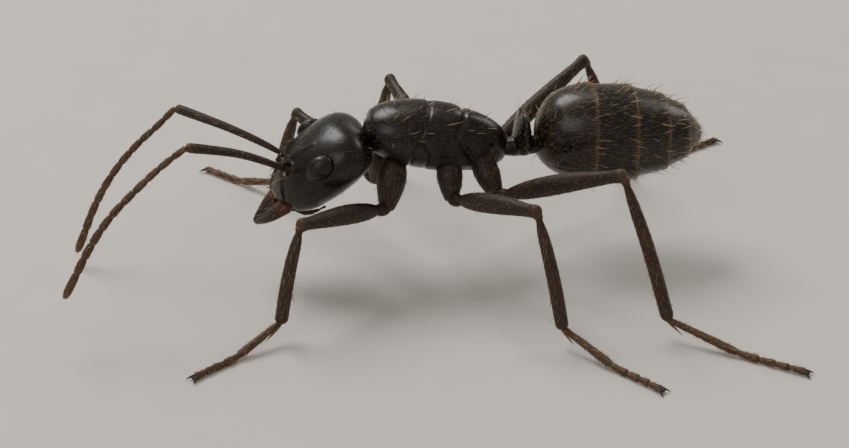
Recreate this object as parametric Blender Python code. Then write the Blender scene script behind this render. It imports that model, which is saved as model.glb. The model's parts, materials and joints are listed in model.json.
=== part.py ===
"""A worker ant at life size, standing still in mid-stride on level ground.

The ant faces -X, its left side faces -Y, +Z is up and the ground is z = 0. The origin is on the ground,
under the middle of its outer box. Lengths below are in millimetres; MM turns them into metres when a
mesh or an object's place is made. The body is a row of egg-shaped trunks, each limb is a chain of round
bones, and every bone is cut back to the one that carries it, which leaves a thin gap between them.
"""

import math
from typing import NamedTuple

import bmesh
import bpy
from mathutils import Vector

MM = 0.001

# ---- Driving dimensions -------------------------------------------------------------------------

GAP = 0.03  # thin cut between neighbouring parts
LIMB_THICKNESS = 0.50  # feelers, shins and feet
TRUNK_SIDES = 24
LIMB_SIDES = 10
RINGS_PER_TRUNK = 16

HEAD_PLACE = Vector((-2.95, 0.0, 2.36))
HEAD_PITCH = math.radians(38.0)  # the face points forward and down
HEAD_LENGTH = 2.20
HEAD_WIDTH = 1.92

EYE_PLACE = Vector((0.16, 0.80, 0.30))  # in the head's own axes, on its left or right
EYE_RADII = Vector((0.27, 0.15, 0.22))
EYE_TURN = math.radians(20.0)

MANDIBLE_ROOT = Vector((-0.93, 0.33, -0.10))
MANDIBLE_LENGTH = 0.80
MANDIBLE_WIDTH = 0.56
MANDIBLE_THICKNESS = 0.30

SCAPE_ROOT = Vector((-0.42, 0.32, 0.40))
SCAPE_LENGTH = 2.35
SCAPE_BOW = 0.12
FUNICULUS_LENGTH = 3.30
FUNICULUS_BOW = 0.28

TRUNK_FRONT = -2.16  # the neck end of the thorax
THORAX_LENGTH = 2.92
PETIOLE_FRONT = 0.58
PETIOLE_LENGTH = 0.92
WAIST_HEIGHT = 2.40
WAIST_RADIUS = 0.22
SCALE_THICKNESS = 0.46  # the petiole's upright scale, along the body
SCALE_RISE = 0.60  # how far it stands above the waist
SCALE_SPREAD = 0.22  # how much wider than the waist it is, on each side
GASTER_FRONT = 1.26
GASTER_LENGTH = 3.34

ANKLE_HEIGHT = 0.40
SOLE_DEPTH = 0.02  # how much of a foot's underside is flattened to the ground


class Outline(NamedTuple):
    """A rounded outline along a trunk: its greatest size, where that is, and how blunt each end is."""

    size: float
    peak: float
    front: float
    rear: float

    def at(self, t):
        reach = self.peak if t < self.peak else 1.0 - self.peak
        power = self.front if t < self.peak else self.rear
        return self.size * (1.0 - (abs(t - self.peak) / reach) ** power) ** (1.0 / power)


class Trunk(NamedTuple):
    """An egg-shaped solid along X, with outlines for its half width and for above and below its axis."""

    front: float
    length: float
    axis_front: float
    axis_rear: float
    width: Outline
    above: Outline
    below: Outline
    first: float = 0.002
    last: float = 0.998
    squareness: float = 2.2


HEAD = Trunk(
    front=-HEAD_LENGTH / 2,
    length=HEAD_LENGTH,
    axis_front=-0.06,
    axis_rear=-0.06,
    width=Outline(HEAD_WIDTH / 2, 0.64, 1.9, 2.9),
    above=Outline(0.68, 0.58, 1.9, 2.5),
    below=Outline(0.62, 0.60, 2.2, 2.5),
    first=0.06,
    last=0.995,
)
THORAX = Trunk(
    front=TRUNK_FRONT,
    length=THORAX_LENGTH,
    axis_front=2.98,
    axis_rear=2.42,
    width=Outline(0.69, 0.28, 2.0, 2.0),
    above=Outline(0.74, 0.42, 2.1, 2.7),
    below=Outline(0.62, 0.50, 2.2, 2.6),
)
GASTER = Trunk(
    front=GASTER_FRONT,
    length=GASTER_LENGTH,
    axis_front=2.42,
    axis_rear=2.36,
    width=Outline(0.93, 0.42, 2.5, 1.9),
    above=Outline(1.14, 0.34, 2.7, 1.8),
    below=Outline(0.86, 0.42, 2.2, 1.9),
    squareness=2.05,
)


class Leg(NamedTuple):
    """One pair's sizes: the coxa's root and tip on the right side, and the lengths beyond the tip."""

    coxa_root: Vector
    coxa_tip: Vector
    coxa_radius: float
    femur: float
    tibia: float
    tarsus: float
    reach: float  # level distance from the coxa's tip to the ankle


LEGS = {
    "fore": Leg(Vector((-1.50, 0.26, 2.50)), Vector((-1.72, 0.60, 1.58)), 0.33, 2.40, 1.90, 2.10, 2.90),
    "mid": Leg(Vector((-0.48, 0.24, 2.45)), Vector((-0.50, 0.76, 1.76)), 0.29, 2.50, 2.25, 2.40, 3.15),
    "hind": Leg(Vector((0.16, 0.22, 2.42)), Vector((0.36, 0.74, 1.72)), 0.30, 3.10, 2.90, 2.85, 3.90),
}

# The stride: how far each leg swings ahead (+) or behind (-) of straight out, and its foot's own swing.
STRIDE = {
    ("fore", "left"): (52.0, 58.0),
    ("fore", "right"): (36.0, 44.0),
    ("mid", "left"): (-30.0, -38.0),
    ("mid", "right"): (14.0, 8.0),
    ("hind", "left"): (-44.0, -52.0),
    ("hind", "right"): (-60.0, -66.0),
}

# Each feeler's bearing outwards and rise, in the head's axes: the scape's, then the funiculus's.
FEELERS = {
    "left": ((40.0, 60.0), (14.0, -6.0)),
    "right": ((42.0, 48.0), (-6.0, -14.0)),
}

SIDES = {"left": -1.0, "right": 1.0}


# ---- Scene and materials ------------------------------------------------------------------------


def clear_scene():
    for thing in list(bpy.data.objects):
        bpy.data.objects.remove(thing)


def make_material(name, colour, roughness):
    material = bpy.data.materials.new(name)
    material.use_nodes = True
    surface = material.node_tree.nodes["Principled BSDF"]
    surface.inputs["Base Color"].default_value = (*colour, 1.0)
    surface.inputs["Roughness"].default_value = roughness
    surface.inputs["Metallic"].default_value = 0.0
    return material


def make_materials():
    return {
        "body": make_material("body_cuticle", (0.014, 0.011, 0.009), 0.34),
        "limb": make_material("limb_cuticle", (0.036, 0.022, 0.014), 0.40),
        "jaw": make_material("jaw_cuticle", (0.042, 0.020, 0.011), 0.32),
        "eye": make_material("eye_lens", (0.008, 0.008, 0.009), 0.22),
    }


def make_root():
    root = bpy.data.objects.new("ant", None)
    bpy.context.scene.collection.objects.link(root)
    return root


def add_object(name, bm, material, parent):
    mesh = bpy.data.meshes.new(name)
    bm.to_mesh(mesh)
    bm.free()
    mesh.materials.append(material)
    mesh.shade_smooth()
    mesh.set_sharp_from_angle(angle=math.radians(50.0))
    part = bpy.data.objects.new(name, mesh)
    bpy.context.scene.collection.objects.link(part)
    part.parent = parent
    return part


def make_cutter(part):
    """Hides an object that only cuts others."""
    part.hide_render = True
    part.display_type = "WIRE"
    return part


def cut(part, cutter):
    modifier = part.modifiers.new("cut_" + cutter.name, "BOOLEAN")
    modifier.operation = "DIFFERENCE"
    modifier.solver = "EXACT"
    modifier.object = cutter


def place(part, location, direction=None):
    """Puts an object at a place, with its own +Z along a direction."""
    part.location = location * MM
    if direction is not None:
        part.rotation_mode = "QUATERNION"
        part.rotation_quaternion = direction.to_track_quat("Z", "Y")


# ---- Lofts --------------------------------------------------------------------------------------


def loft(rows):
    """A closed skin through rings of points, with a flat cap at each end."""
    bm = bmesh.new()
    before = None
    for row in rows:
        verts = bmesh.ops.create_circle(bm, segments=len(row), radius=1.0)["verts"]
        edges = list({edge for vert in verts for edge in vert.link_edges})
        for vert, point in zip(verts, row):
            vert.co = point * MM
        if before:
            bmesh.ops.bridge_loops(bm, edges=before + edges)
        before = edges
    bmesh.ops.holes_fill(bm, edges=bm.edges)
    bmesh.ops.recalc_face_normals(bm, faces=bm.faces)
    return bm


def signed_power(value, power):
    return math.copysign(abs(value) ** power, value)


def oval(x, half_width, low, high, squareness):
    """A ring across X between two heights; 2 is an ellipse, and more is squarer."""
    row = []
    for step in range(TRUNK_SIDES):
        angle = math.tau * (step + 0.5) / TRUNK_SIDES
        across = signed_power(math.cos(angle), 2.0 / squareness)
        up = signed_power(math.sin(angle), 2.0 / squareness)
        row.append(Vector((x, half_width * across, (low + high) / 2 + (high - low) / 2 * up)))
    return row


def trunk_rows(trunk, grow=0.0):
    """Rings of a trunk, closer together at its ends."""
    rows = []
    for number in range(RINGS_PER_TRUNK + 1):
        even = 0.5 - 0.5 * math.cos(math.pi * number / RINGS_PER_TRUNK)
        t = trunk.first + even * (trunk.last - trunk.first)
        x = trunk.front - grow + t * (trunk.length + 2.0 * grow)
        axis = trunk.axis_front + t * (trunk.axis_rear - trunk.axis_front)
        low = axis - trunk.below.at(t) - grow
        high = axis + trunk.above.at(t) + grow
        rows.append(oval(x, trunk.width.at(t) + grow, low, high, trunk.squareness))
    return rows


def tube(points, radii):
    """A round bone along a line of points, each with its own radius."""
    rows = []
    for number, (point, radius) in enumerate(zip(points, radii)):
        ahead = points[min(number + 1, len(points) - 1)]
        behind = points[max(number - 1, 0)]
        along = (ahead - behind).normalized()
        side = Vector((1.0, 0.0, 0.0)) if abs(along.x) < 0.5 else Vector((0.0, 1.0, 0.0))
        up = along.cross(side)
        turns = [math.tau * step / LIMB_SIDES for step in range(LIMB_SIDES)]
        rows.append([point + radius * (math.cos(a) * side + math.sin(a) * up) for a in turns])
    return loft(rows)


def bone(length, radius_at, bow=0.0, grow=0.0, rings=4):
    """A bone from the origin along +Z, bowed upwards along +Y, with a round end about its far joint."""
    points = []
    radii = []
    for number in range(rings + 1):
        t = number / rings
        points.append(Vector((0.0, 4.0 * bow * t * (1.0 - t), length * t)))
        radii.append(radius_at(t) + grow)
    tip = points[-1]
    heading = (points[-1] - points[-2]).normalized()
    end_radius = radii[-1]
    for angle in (math.radians(32.0), math.radians(60.0), math.radians(82.0)):
        points.append(tip + heading * end_radius * math.sin(angle))
        radii.append(end_radius * math.cos(angle))
    return tube(points, radii)


# ---- Head ---------------------------------------------------------------------------------------


def add_head(root, materials):
    head = add_object("head", loft(trunk_rows(HEAD)), materials["body"], root)
    place(head, HEAD_PLACE)
    head.rotation_euler = (0.0, -HEAD_PITCH, 0.0)
    return head


def add_head_cutter(head, materials):
    """The head a little larger, which trims what grows out of it."""
    grown = loft(trunk_rows(HEAD, grow=GAP))
    return make_cutter(add_object("cutter_head", grown, materials["body"], head))


def eye_ball(grow):
    bm = bmesh.new()
    bmesh.ops.create_uvsphere(bm, u_segments=12, v_segments=8, radius=1.0)
    radii = (EYE_RADII + Vector((grow, grow, grow))) * MM
    bmesh.ops.scale(bm, vec=radii, verts=bm.verts)
    return bm


def add_eye(head, side, materials):
    """An oval eye in a socket that is cut out of the head."""
    sign = SIDES[side]
    eye = add_object("eye_" + side, eye_ball(0.0), materials["eye"], head)
    socket = make_cutter(add_object("cutter_socket_" + side, eye_ball(GAP), materials["eye"], head))
    for part in (eye, socket):
        place(part, EYE_PLACE * Vector((1.0, sign, 1.0)))
        part.rotation_euler = (sign * EYE_TURN, 0.0, 0.0)
    cut(head, socket)


def mandible_outline():
    """The jaw's blade from above, root at the origin: a curved outer edge and a straight biting edge."""
    outer = []
    biting_y = GAP / 2 - MANDIBLE_ROOT.y
    outer_y = biting_y + MANDIBLE_WIDTH
    for number in range(9):
        t = number / 8
        outer.append((-MANDIBLE_LENGTH * t, outer_y + (biting_y - outer_y) * 0.94 * t**2.4))
    return outer + [(-0.35 * MANDIBLE_LENGTH, biting_y), (0.0, biting_y + 0.35 * MANDIBLE_WIDTH)]


def add_mandible(head, head_cutter, side, materials):
    sign = SIDES[side]
    bm = bmesh.new()
    half = MANDIBLE_THICKNESS / 2
    verts = [bm.verts.new(Vector((x, y * sign, -half)) * MM) for x, y in mandible_outline()]
    blade = bm.faces.new(verts)
    raised = bmesh.ops.extrude_face_region(bm, geom=[blade])["geom"]
    raised_verts = [item for item in raised if isinstance(item, bmesh.types.BMVert)]
    bmesh.ops.translate(bm, vec=Vector((0.0, 0.0, MANDIBLE_THICKNESS)) * MM, verts=raised_verts)
    bmesh.ops.recalc_face_normals(bm, faces=bm.faces)
    rim = [edge for edge in bm.edges if abs(edge.verts[0].co.z - edge.verts[1].co.z) < 1e-9]
    bmesh.ops.bevel(bm, geom=rim, offset=0.08 * MM, segments=2, profile=0.5, affect="EDGES")
    mandible = add_object("mandible_" + side, bm, materials["jaw"], head)
    place(mandible, MANDIBLE_ROOT * Vector((1.0, sign, 1.0)))
    cut(mandible, head_cutter)


def bearing(outwards, rise, sign):
    """A direction in the head's axes: ahead is -X, outwards is +Y or -Y by side."""
    level = math.cos(math.radians(rise))
    turn = math.radians(outwards)
    return Vector((-level * math.cos(turn), sign * level * math.sin(turn), math.sin(math.radians(rise))))


def scape_radius(t):
    return LIMB_THICKNESS * (0.46 + 0.06 * t)


def funiculus_radius(t):
    return LIMB_THICKNESS * (0.45 + 0.05 * math.sin(math.pi * t))


def add_feeler(head, head_cutter, side, materials):
    """An elbowed feeler: the long scape, then the jointed funiculus."""
    sign = SIDES[side]
    scape_bearing, funiculus_bearing = FEELERS[side]
    scape_way = bearing(*scape_bearing, sign)
    funiculus_way = bearing(*funiculus_bearing, sign)
    root_place = SCAPE_ROOT * Vector((1.0, sign, 1.0))
    elbow = root_place + scape_way * SCAPE_LENGTH
    scape = add_object(
        "scape_" + side, bone(SCAPE_LENGTH, scape_radius, SCAPE_BOW), materials["limb"], head
    )
    grown = bone(SCAPE_LENGTH, scape_radius, SCAPE_BOW, GAP)
    elbow_cutter = make_cutter(add_object("cutter_scape_" + side, grown, materials["limb"], head))
    for part in (scape, elbow_cutter):
        place(part, root_place, scape_way)
    cut(scape, head_cutter)
    funiculus = add_object(
        "funiculus_" + side,
        bone(FUNICULUS_LENGTH, funiculus_radius, FUNICULUS_BOW, rings=9),
        materials["limb"],
        head,
    )
    place(funiculus, elbow, funiculus_way)
    cut(funiculus, elbow_cutter)


# ---- Thorax, petiole and gaster -----------------------------------------------------------------


def slice_trunk(rows, front_x, rear_x, lean):
    """The length of a loft between two leaning planes, closed again where it is cut."""
    bm = loft(rows)
    for x, heading in ((front_x, 1.0), (rear_x, -1.0)):
        if x is None:
            continue
        normal = Vector((heading * math.cos(lean), 0.0, heading * math.sin(lean)))
        point = Vector((x + heading * GAP / 2, 0.0, THORAX.axis_front)) * MM
        everything = bm.verts[:] + bm.edges[:] + bm.faces[:]
        bmesh.ops.bisect_plane(bm, geom=everything, plane_co=point, plane_no=normal, clear_inner=True)
        bmesh.ops.holes_fill(bm, edges=bm.edges)
    bmesh.ops.recalc_face_normals(bm, faces=bm.faces)
    return bm


def add_thorax(root, head_cutter, materials):
    """Pronotum, mesothorax and propodeum: one arched trunk, parted at its two sutures."""
    rows = trunk_rows(THORAX)
    first_suture = TRUNK_FRONT + 0.40 * THORAX_LENGTH
    second_suture = TRUNK_FRONT + 0.66 * THORAX_LENGTH
    lean = math.radians(-22.0)
    pronotum = add_object(
        "pronotum", slice_trunk(rows, None, first_suture, lean), materials["body"], root
    )
    cut(pronotum, head_cutter)
    add_object(
        "mesothorax", slice_trunk(rows, first_suture, second_suture, lean), materials["body"], root
    )
    add_object("propodeum", slice_trunk(rows, second_suture, None, lean), materials["body"], root)
    grown = loft(trunk_rows(THORAX, grow=GAP))
    return make_cutter(add_object("cutter_thorax", grown, materials["body"], root))


def add_gaster(root, materials):
    add_object("gaster", loft(trunk_rows(GASTER)), materials["body"], root)
    grown = loft(trunk_rows(GASTER, grow=GAP))
    return make_cutter(add_object("cutter_gaster", grown, materials["body"], root))


def scale_height(x):
    """The upright scale's share of its full height at a place along the petiole."""
    middle = PETIOLE_FRONT + 0.48 * PETIOLE_LENGTH
    away = abs(x - middle) / (SCALE_THICKNESS / 2)
    return math.sqrt(max(0.0, 1.0 - away**3))


def add_petiole(root, thorax_cutter, gaster_cutter, materials):
    """The waist: a short stem with one upright scale, cut back to the thorax and the gaster."""
    rows = []
    steps = 18
    for number in range(steps + 1):
        x = PETIOLE_FRONT + PETIOLE_LENGTH * number / steps
        rise = scale_height(x)
        low = WAIST_HEIGHT - WAIST_RADIUS - 0.06 * rise
        high = WAIST_HEIGHT + WAIST_RADIUS + SCALE_RISE * rise
        rows.append(oval(x, WAIST_RADIUS + SCALE_SPREAD * rise, low, high, 2.2))
    petiole = add_object("petiole", loft(rows), materials["body"], root)
    cut(petiole, thorax_cutter)
    cut(petiole, gaster_cutter)


# ---- Legs ---------------------------------------------------------------------------------------


def swing(degrees, sign):
    """A level direction: straight out to the side at 0, ahead of that for a positive swing."""
    angle = math.radians(degrees)
    return Vector((-math.sin(angle), sign * math.cos(angle), 0.0))


def knee_between(hip, ankle, femur, tibia):
    """The knee, above the line from hip to ankle, where both bones keep their lengths."""
    line = ankle - hip
    along = (femur**2 - tibia**2 + line.length_squared) / (2.0 * line.length)
    height = math.sqrt(femur**2 - along**2)
    forward = line.normalized()
    up = (Vector((0.0, 0.0, 1.0)) - forward * forward.z).normalized()
    return hip + forward * along + up * height


def femur_radius(t):
    """Swollen a third of the way along, and slimmer at both joints."""
    return LIMB_THICKNESS * (0.44 + 0.12 * math.sin(math.pi * t**0.7))


def tibia_radius(t):
    return LIMB_THICKNESS * (0.43 + 0.07 * math.sin(math.pi * 0.85 * t))


def add_bone(name, start, end, radius_at, bow, carrier, root, materials):
    """A bone between two joints, cut back to its carrier. Returns the cutter for the next bone."""
    way = end - start
    part = add_object(name, bone(way.length, radius_at, bow), materials["limb"], root)
    grown = bone(way.length, radius_at, bow, GAP)
    cutter = make_cutter(add_object("cutter_" + name, grown, materials["limb"], root))
    for piece in (part, cutter):
        place(piece, start, way)
    cut(part, carrier)
    return cutter


def add_tarsus(name, ankle, length, turn, carrier, root, materials):
    """A foot that slopes down from the ankle and lies along the ground on a flat sole."""
    radius = LIMB_THICKNESS / 2
    drop = ANKLE_HEIGHT - (radius - SOLE_DEPTH)
    points = []
    radii = []
    steps = 8
    for number in range(steps + 1):
        t = number / steps
        ease = min(1.0, t / 0.45)
        points.append(Vector((length * t, 0.0, -drop * ease * ease * (3.0 - 2.0 * ease))))
        radii.append(radius * (0.90 + 0.10 * min(1.0, 3.0 * t)))
    tip = points[-1]
    for angle in (math.radians(35.0), math.radians(65.0)):
        points.append(tip + Vector((radius * math.sin(angle), 0.0, 0.0)))
        radii.append(radius * math.cos(angle))
    bm = tube(points, radii)
    for vert in bm.verts:
        vert.co.z = max(vert.co.z, -ANKLE_HEIGHT * MM)
    part = add_object(name, bm, materials["limb"], root)
    place(part, ankle)
    part.rotation_euler = (0.0, 0.0, turn)
    cut(part, carrier)


def add_leg(pair, side, thorax_cutter, root, materials):
    sign = SIDES[side]
    leg = LEGS[pair]
    leg_swing, foot_swing = STRIDE[pair, side]
    mirror = Vector((1.0, sign, 1.0))
    hip = leg.coxa_tip * mirror
    ankle = hip + swing(leg_swing, sign) * leg.reach
    ankle.z = ANKLE_HEIGHT
    knee = knee_between(hip, ankle, leg.femur, leg.tibia)
    name = pair + "_" + side

    def coxa_radius(t):
        return leg.coxa_radius + t * (LIMB_THICKNESS / 2 - leg.coxa_radius)

    coxa = add_bone(
        "coxa_" + name, leg.coxa_root * mirror, hip, coxa_radius, 0.0, thorax_cutter, root, materials
    )
    femur = add_bone("femur_" + name, hip, knee, femur_radius, 0.0, coxa, root, materials)
    tibia = add_bone("tibia_" + name, knee, ankle, tibia_radius, 0.0, femur, root, materials)
    way = swing(foot_swing, sign)
    turn = math.atan2(way.y, way.x)
    add_tarsus("tarsus_" + name, ankle, leg.tarsus - LIMB_THICKNESS / 2, turn, tibia, root, materials)


# ---- Assembly -----------------------------------------------------------------------------------


def centre_on_ground(root):
    """Moves the ant so that the middle of its outer box is over the origin."""
    bpy.context.view_layer.update()
    shown = [part for part in bpy.data.objects if part.type == "MESH" and not part.hide_render]
    points = [part.matrix_world @ vert.co for part in shown for vert in part.data.vertices]
    for axis in (0, 1):
        places = [point[axis] for point in points]
        root.location[axis] -= (min(places) + max(places)) / 2


def main():
    clear_scene()
    materials = make_materials()
    root = make_root()
    head = add_head(root, materials)
    head_cutter = add_head_cutter(head, materials)
    thorax_cutter = add_thorax(root, head_cutter, materials)
    gaster_cutter = add_gaster(root, materials)
    add_petiole(root, thorax_cutter, gaster_cutter, materials)
    for side in SIDES:
        add_eye(head, side, materials)
        add_mandible(head, head_cutter, side, materials)
        add_feeler(head, head_cutter, side, materials)
        for pair in LEGS:
            add_leg(pair, side, thorax_cutter, root, materials)
    centre_on_ground(root)


main()
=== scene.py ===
"""The finish of a museum model of a worker ant: its shell plates, jaws, eyes, limbs and hairs.

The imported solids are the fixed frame. Pieces are modelled on a bench in millimetres: in the body's own axes
(the ant faces -X, +Z is up), in the head's own axes (the jaws are at -X, the face is +Z), or along +X for a
limb. Each piece is then laid in its place in metres, inside the solids that it stands for.
"""

import json
import math
from contextlib import contextmanager
from typing import NamedTuple

import bpy
import numpy as np
from bpy.props import FloatProperty, FloatVectorProperty, IntProperty, PointerProperty
from mathutils import Matrix, Vector
from mathutils.bvhtree import BVHTree

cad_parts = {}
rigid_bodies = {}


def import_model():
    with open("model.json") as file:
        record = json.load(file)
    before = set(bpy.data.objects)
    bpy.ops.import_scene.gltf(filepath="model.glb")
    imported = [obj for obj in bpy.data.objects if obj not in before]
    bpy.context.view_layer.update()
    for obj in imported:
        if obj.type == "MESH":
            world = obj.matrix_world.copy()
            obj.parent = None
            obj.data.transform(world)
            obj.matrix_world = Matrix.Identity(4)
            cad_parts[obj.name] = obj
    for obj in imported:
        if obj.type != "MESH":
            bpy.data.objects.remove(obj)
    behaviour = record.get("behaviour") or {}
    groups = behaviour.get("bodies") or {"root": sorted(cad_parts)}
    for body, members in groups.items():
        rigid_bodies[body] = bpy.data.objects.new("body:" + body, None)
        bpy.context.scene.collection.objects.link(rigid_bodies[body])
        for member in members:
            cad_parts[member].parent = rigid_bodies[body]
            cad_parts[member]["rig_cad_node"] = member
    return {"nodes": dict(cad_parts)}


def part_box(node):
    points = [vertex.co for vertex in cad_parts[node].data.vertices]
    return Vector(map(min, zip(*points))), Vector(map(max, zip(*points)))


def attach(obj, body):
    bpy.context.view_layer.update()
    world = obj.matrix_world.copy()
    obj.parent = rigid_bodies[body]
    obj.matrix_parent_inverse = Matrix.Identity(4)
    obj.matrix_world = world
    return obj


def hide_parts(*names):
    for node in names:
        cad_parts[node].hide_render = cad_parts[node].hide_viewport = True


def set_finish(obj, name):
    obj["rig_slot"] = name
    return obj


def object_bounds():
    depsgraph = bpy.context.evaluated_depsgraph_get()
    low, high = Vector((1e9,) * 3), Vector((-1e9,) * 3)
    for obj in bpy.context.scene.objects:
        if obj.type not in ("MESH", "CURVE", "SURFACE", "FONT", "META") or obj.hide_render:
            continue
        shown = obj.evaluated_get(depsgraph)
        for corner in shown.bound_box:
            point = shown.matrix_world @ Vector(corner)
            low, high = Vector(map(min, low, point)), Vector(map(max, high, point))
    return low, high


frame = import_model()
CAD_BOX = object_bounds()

bl_info = {
    "name": "Ant finish",
    "version": (1, 0, 0),
    "blender": (4, 5, 0),
    "location": "3D View > Sidebar > Ant",
    "description": "Makes the shell, jaws, eyes, limbs and hairs of a museum model of a worker ant",
    "category": "Object",
}

MM = 0.001
SIDES = {"left": -1.0, "right": 1.0}
LEGS = [pair + "_" + side for pair in ("fore", "mid", "hind") for side in SIDES]
LEG_BONES = ("coxa", "femur", "tibia", "tarsus")
UP = Vector((0.0, 0.0, 1.0))
AHEAD = Vector((-1.0, 0.0, 0.0))

# ---- Places in the frame, in millimetres ----

GASTER_FRONT = 1.26
FRONT_CAP = 0.007  # the solid starts this far behind the outline's own front
HEAD_FROM_GASTER = Vector((-4.21, 0.0, 2.36))
HEAD_PITCH = math.radians(38.0)
TRUNK_HEIGHT = 2.6
FAR_BALL = {"coxa": 0.25, "femur": 0.22, "tibia": 0.23, "scape": 0.26}  # round ends of the solids
STRAIGHT = (0.45, 0.75)  # two shares of a bone's length that give its way


def read(items, field, width=1, kind=np.float32):
    """One field of every item in a mesh's list, as numbers or as rows of numbers."""
    values = np.empty(len(items) * width, kind)
    items.foreach_get(field, values)
    return values.reshape(-1, width) if width > 1 else values


def points_of(piece):
    return read(piece.data.vertices, "co", 3).astype(float)


def normals_of(piece):
    return read(piece.data.vertices, "normal", 3).astype(float)


def body_axes():
    """The body's own axes: the mid-plane and the gaster's front come from the gaster's solid."""
    low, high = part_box("gaster")
    front = low.x / MM - FRONT_CAP
    return Matrix.Translation((front - GASTER_FRONT, (low.y + high.y) / 2 / MM, 0.0))


BODY = body_axes()
HEAD = BODY @ Matrix.Translation(HEAD_FROM_GASTER + Vector((GASTER_FRONT, 0.0, 0.0)))
HEAD = HEAD @ Matrix.Rotation(-HEAD_PITCH, 4, "Y")


def crossings(node, toward, shares):
    """Middles of a long solid's cross-sections, counted from its end nearest to a point."""
    solid = frame["nodes"][node]
    verts = points_of(solid) / MM
    ends = read(solid.data.edges, "vertices", 2, np.int32)
    middle = verts.mean(0)
    axis = np.linalg.svd(verts - middle, full_matrices=False)[2][0]
    if np.dot(np.array(toward) - middle, axis) > 0.0:
        axis = -axis
    along = (verts - middle) @ axis
    first, second = along[ends[:, 0]], along[ends[:, 1]]
    line = []
    for share in shares:
        level = along.min() + share * np.ptp(along)
        cut = (first - level) * (second - level) < 0.0
        part = ((level - first[cut]) / (second[cut] - first[cut]))[:, None]
        points = verts[ends[cut, 0]] * (1.0 - part) + verts[ends[cut, 1]] * part
        line.append(Vector(points.mean(0)))
    return line


def reach_of(node, start, way):
    """How far a solid goes from a point along a way."""
    return max((v.co / MM - start).dot(way) for v in frame["nodes"][node].data.vertices)


def far_joint(bone, limb, toward):
    """The centre of a bone's round far end."""
    node = bone + "_" + limb
    near, far = crossings(node, toward, STRAIGHT)
    way = (far - near).normalized()
    return near + way * (reach_of(node, near, way) - FAR_BALL[bone])


# ---- Bench tools ----

DISC_TURNS = {"X": (0.0, math.pi / 2, 0.0), "Z": (0.0, 0.0, 0.0)}
LEAST_SHARE = 0.004  # a weaker share of a relief is left out


def only(piece):
    """Selects one object and nothing else."""
    bpy.ops.object.select_all(action="DESELECT")
    piece.select_set(True)
    bpy.context.view_layer.objects.active = piece


def settle(piece):
    """Writes an object's own place, turn and size into its mesh."""
    only(piece)
    bpy.ops.object.transform_apply(location=True, rotation=True, scale=True)


@contextmanager
def editing(piece):
    """Edit mode, with all of one piece selected."""
    only(piece)
    bpy.ops.object.mode_set(mode="EDIT")
    bpy.ops.mesh.select_all(action="SELECT")
    yield
    bpy.ops.object.mode_set(mode="OBJECT")


def apply_modifier(piece, kind, **settings):
    """Adds a modifier with its settings and makes it part of the mesh."""
    only(piece)
    modifier = piece.modifiers.new(kind.lower(), kind)
    for name, value in settings.items():
        setattr(modifier, name, value)
    bpy.ops.object.modifier_apply(modifier=modifier.name)


def smoothed(piece, levels):
    apply_modifier(piece, "SUBSURF", levels=levels, render_levels=levels)
    return piece


def fused(piece, voxel, smoothings):
    """Makes overlapping parts one surface and softens where they meet."""
    apply_modifier(piece, "REMESH", mode="VOXEL", voxel_size=voxel)
    apply_modifier(piece, "SMOOTH", factor=0.5, iterations=smoothings)


def put_in_order(piece):
    """Numbers a mesh's points and faces by their place, because the order that tools leave varies by run."""
    co = points_of(piece)
    order = np.lexsort(co.T)
    rank = np.argsort(order).tolist()
    faces = []
    for polygon in piece.data.polygons:
        face = [rank[index] for index in polygon.vertices]
        first = face.index(min(face))
        faces.append(face[first:] + face[:first])
    piece.data.clear_geometry()
    piece.data.from_pydata(co[order].tolist(), [], sorted(faces))


def grow(name, rings, sides, axis="X"):
    """A closed skin drawn out of a flat disc: extruded from ring to ring and resized at each.

    A ring is its middle and its half sizes, and its half size along the axis is 1.
    """
    middle, size = rings[0]
    bpy.ops.object.select_all(action="DESELECT")
    bpy.ops.mesh.primitive_circle_add(
        vertices=sides, radius=1.0, fill_type="NGON", location=middle, rotation=DISC_TURNS[axis]
    )
    piece = bpy.context.object
    piece.name = name
    settle(piece)
    with editing(piece):
        bpy.ops.transform.resize(value=size, center_override=middle)
        for following, next_size in rings[1:]:
            step = [b - a for a, b in zip(middle, following)]
            bpy.ops.mesh.extrude_region_move(TRANSFORM_OT_translate={"value": step})
            ratio = [b / a for a, b in zip(size, next_size)]
            bpy.ops.transform.resize(value=ratio, center_override=following)
            middle, size = following, next_size
        bpy.ops.mesh.select_all(action="SELECT")
        bpy.ops.mesh.normals_make_consistent(inside=False)
    put_in_order(piece)
    return piece


def rings_at(*rows):
    """Rings across X, from rows of place along X, height, half width and half height."""
    return [((x, 0.0, z), (1.0, across, up)) for x, z, across, up in rows]


def grow_round(name, shape, length, sides, droop=0.0, flat=1.0):
    """A limb's part along +X, from (share of its length, radius) pairs.

    Droop lowers its far end, and flat is its width over its depth.
    """
    rings = []
    for share, radius in shape:
        rings.append(((share * length, 0.0, -droop * share**2), (1.0, radius * flat, radius)))
    return grow(name, rings, sides)


def copied(piece, name):
    """A copy of a piece, with its own mesh."""
    copy = piece.copy()
    copy.data = piece.data.copy()
    copy.name = name
    bpy.context.scene.collection.objects.link(copy)
    return copy


def joined(name, pieces):
    """Several pieces as one object."""
    only(pieces[0])
    for piece in pieces[1:]:
        piece.select_set(True)
    bpy.ops.object.join()
    pieces[0].name = name
    return pieces[0]


def mark(piece, **marks):
    """Stores values at each vertex, for the materials and the coat: a vector for the lie, else a number."""
    data = piece.data
    for name, values in marks.items():
        kind, field, width = ("FLOAT_VECTOR", "vector", 3) if name == "lie" else ("FLOAT", "value", 1)
        values = np.asarray(values, np.float32).reshape(-1, width)
        every = np.broadcast_to(values, (len(data.vertices), width))
        attribute = data.attributes.get(name) or data.attributes.new(name, kind, "POINT")
        attribute.data.foreach_set(field, every.ravel())


def marked(piece, name):
    """What mark() stored."""
    data = piece.data.attributes[name].data
    return read(data, "vector", 3).astype(float) if name == "lie" else read(data, "value").astype(float)


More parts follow.
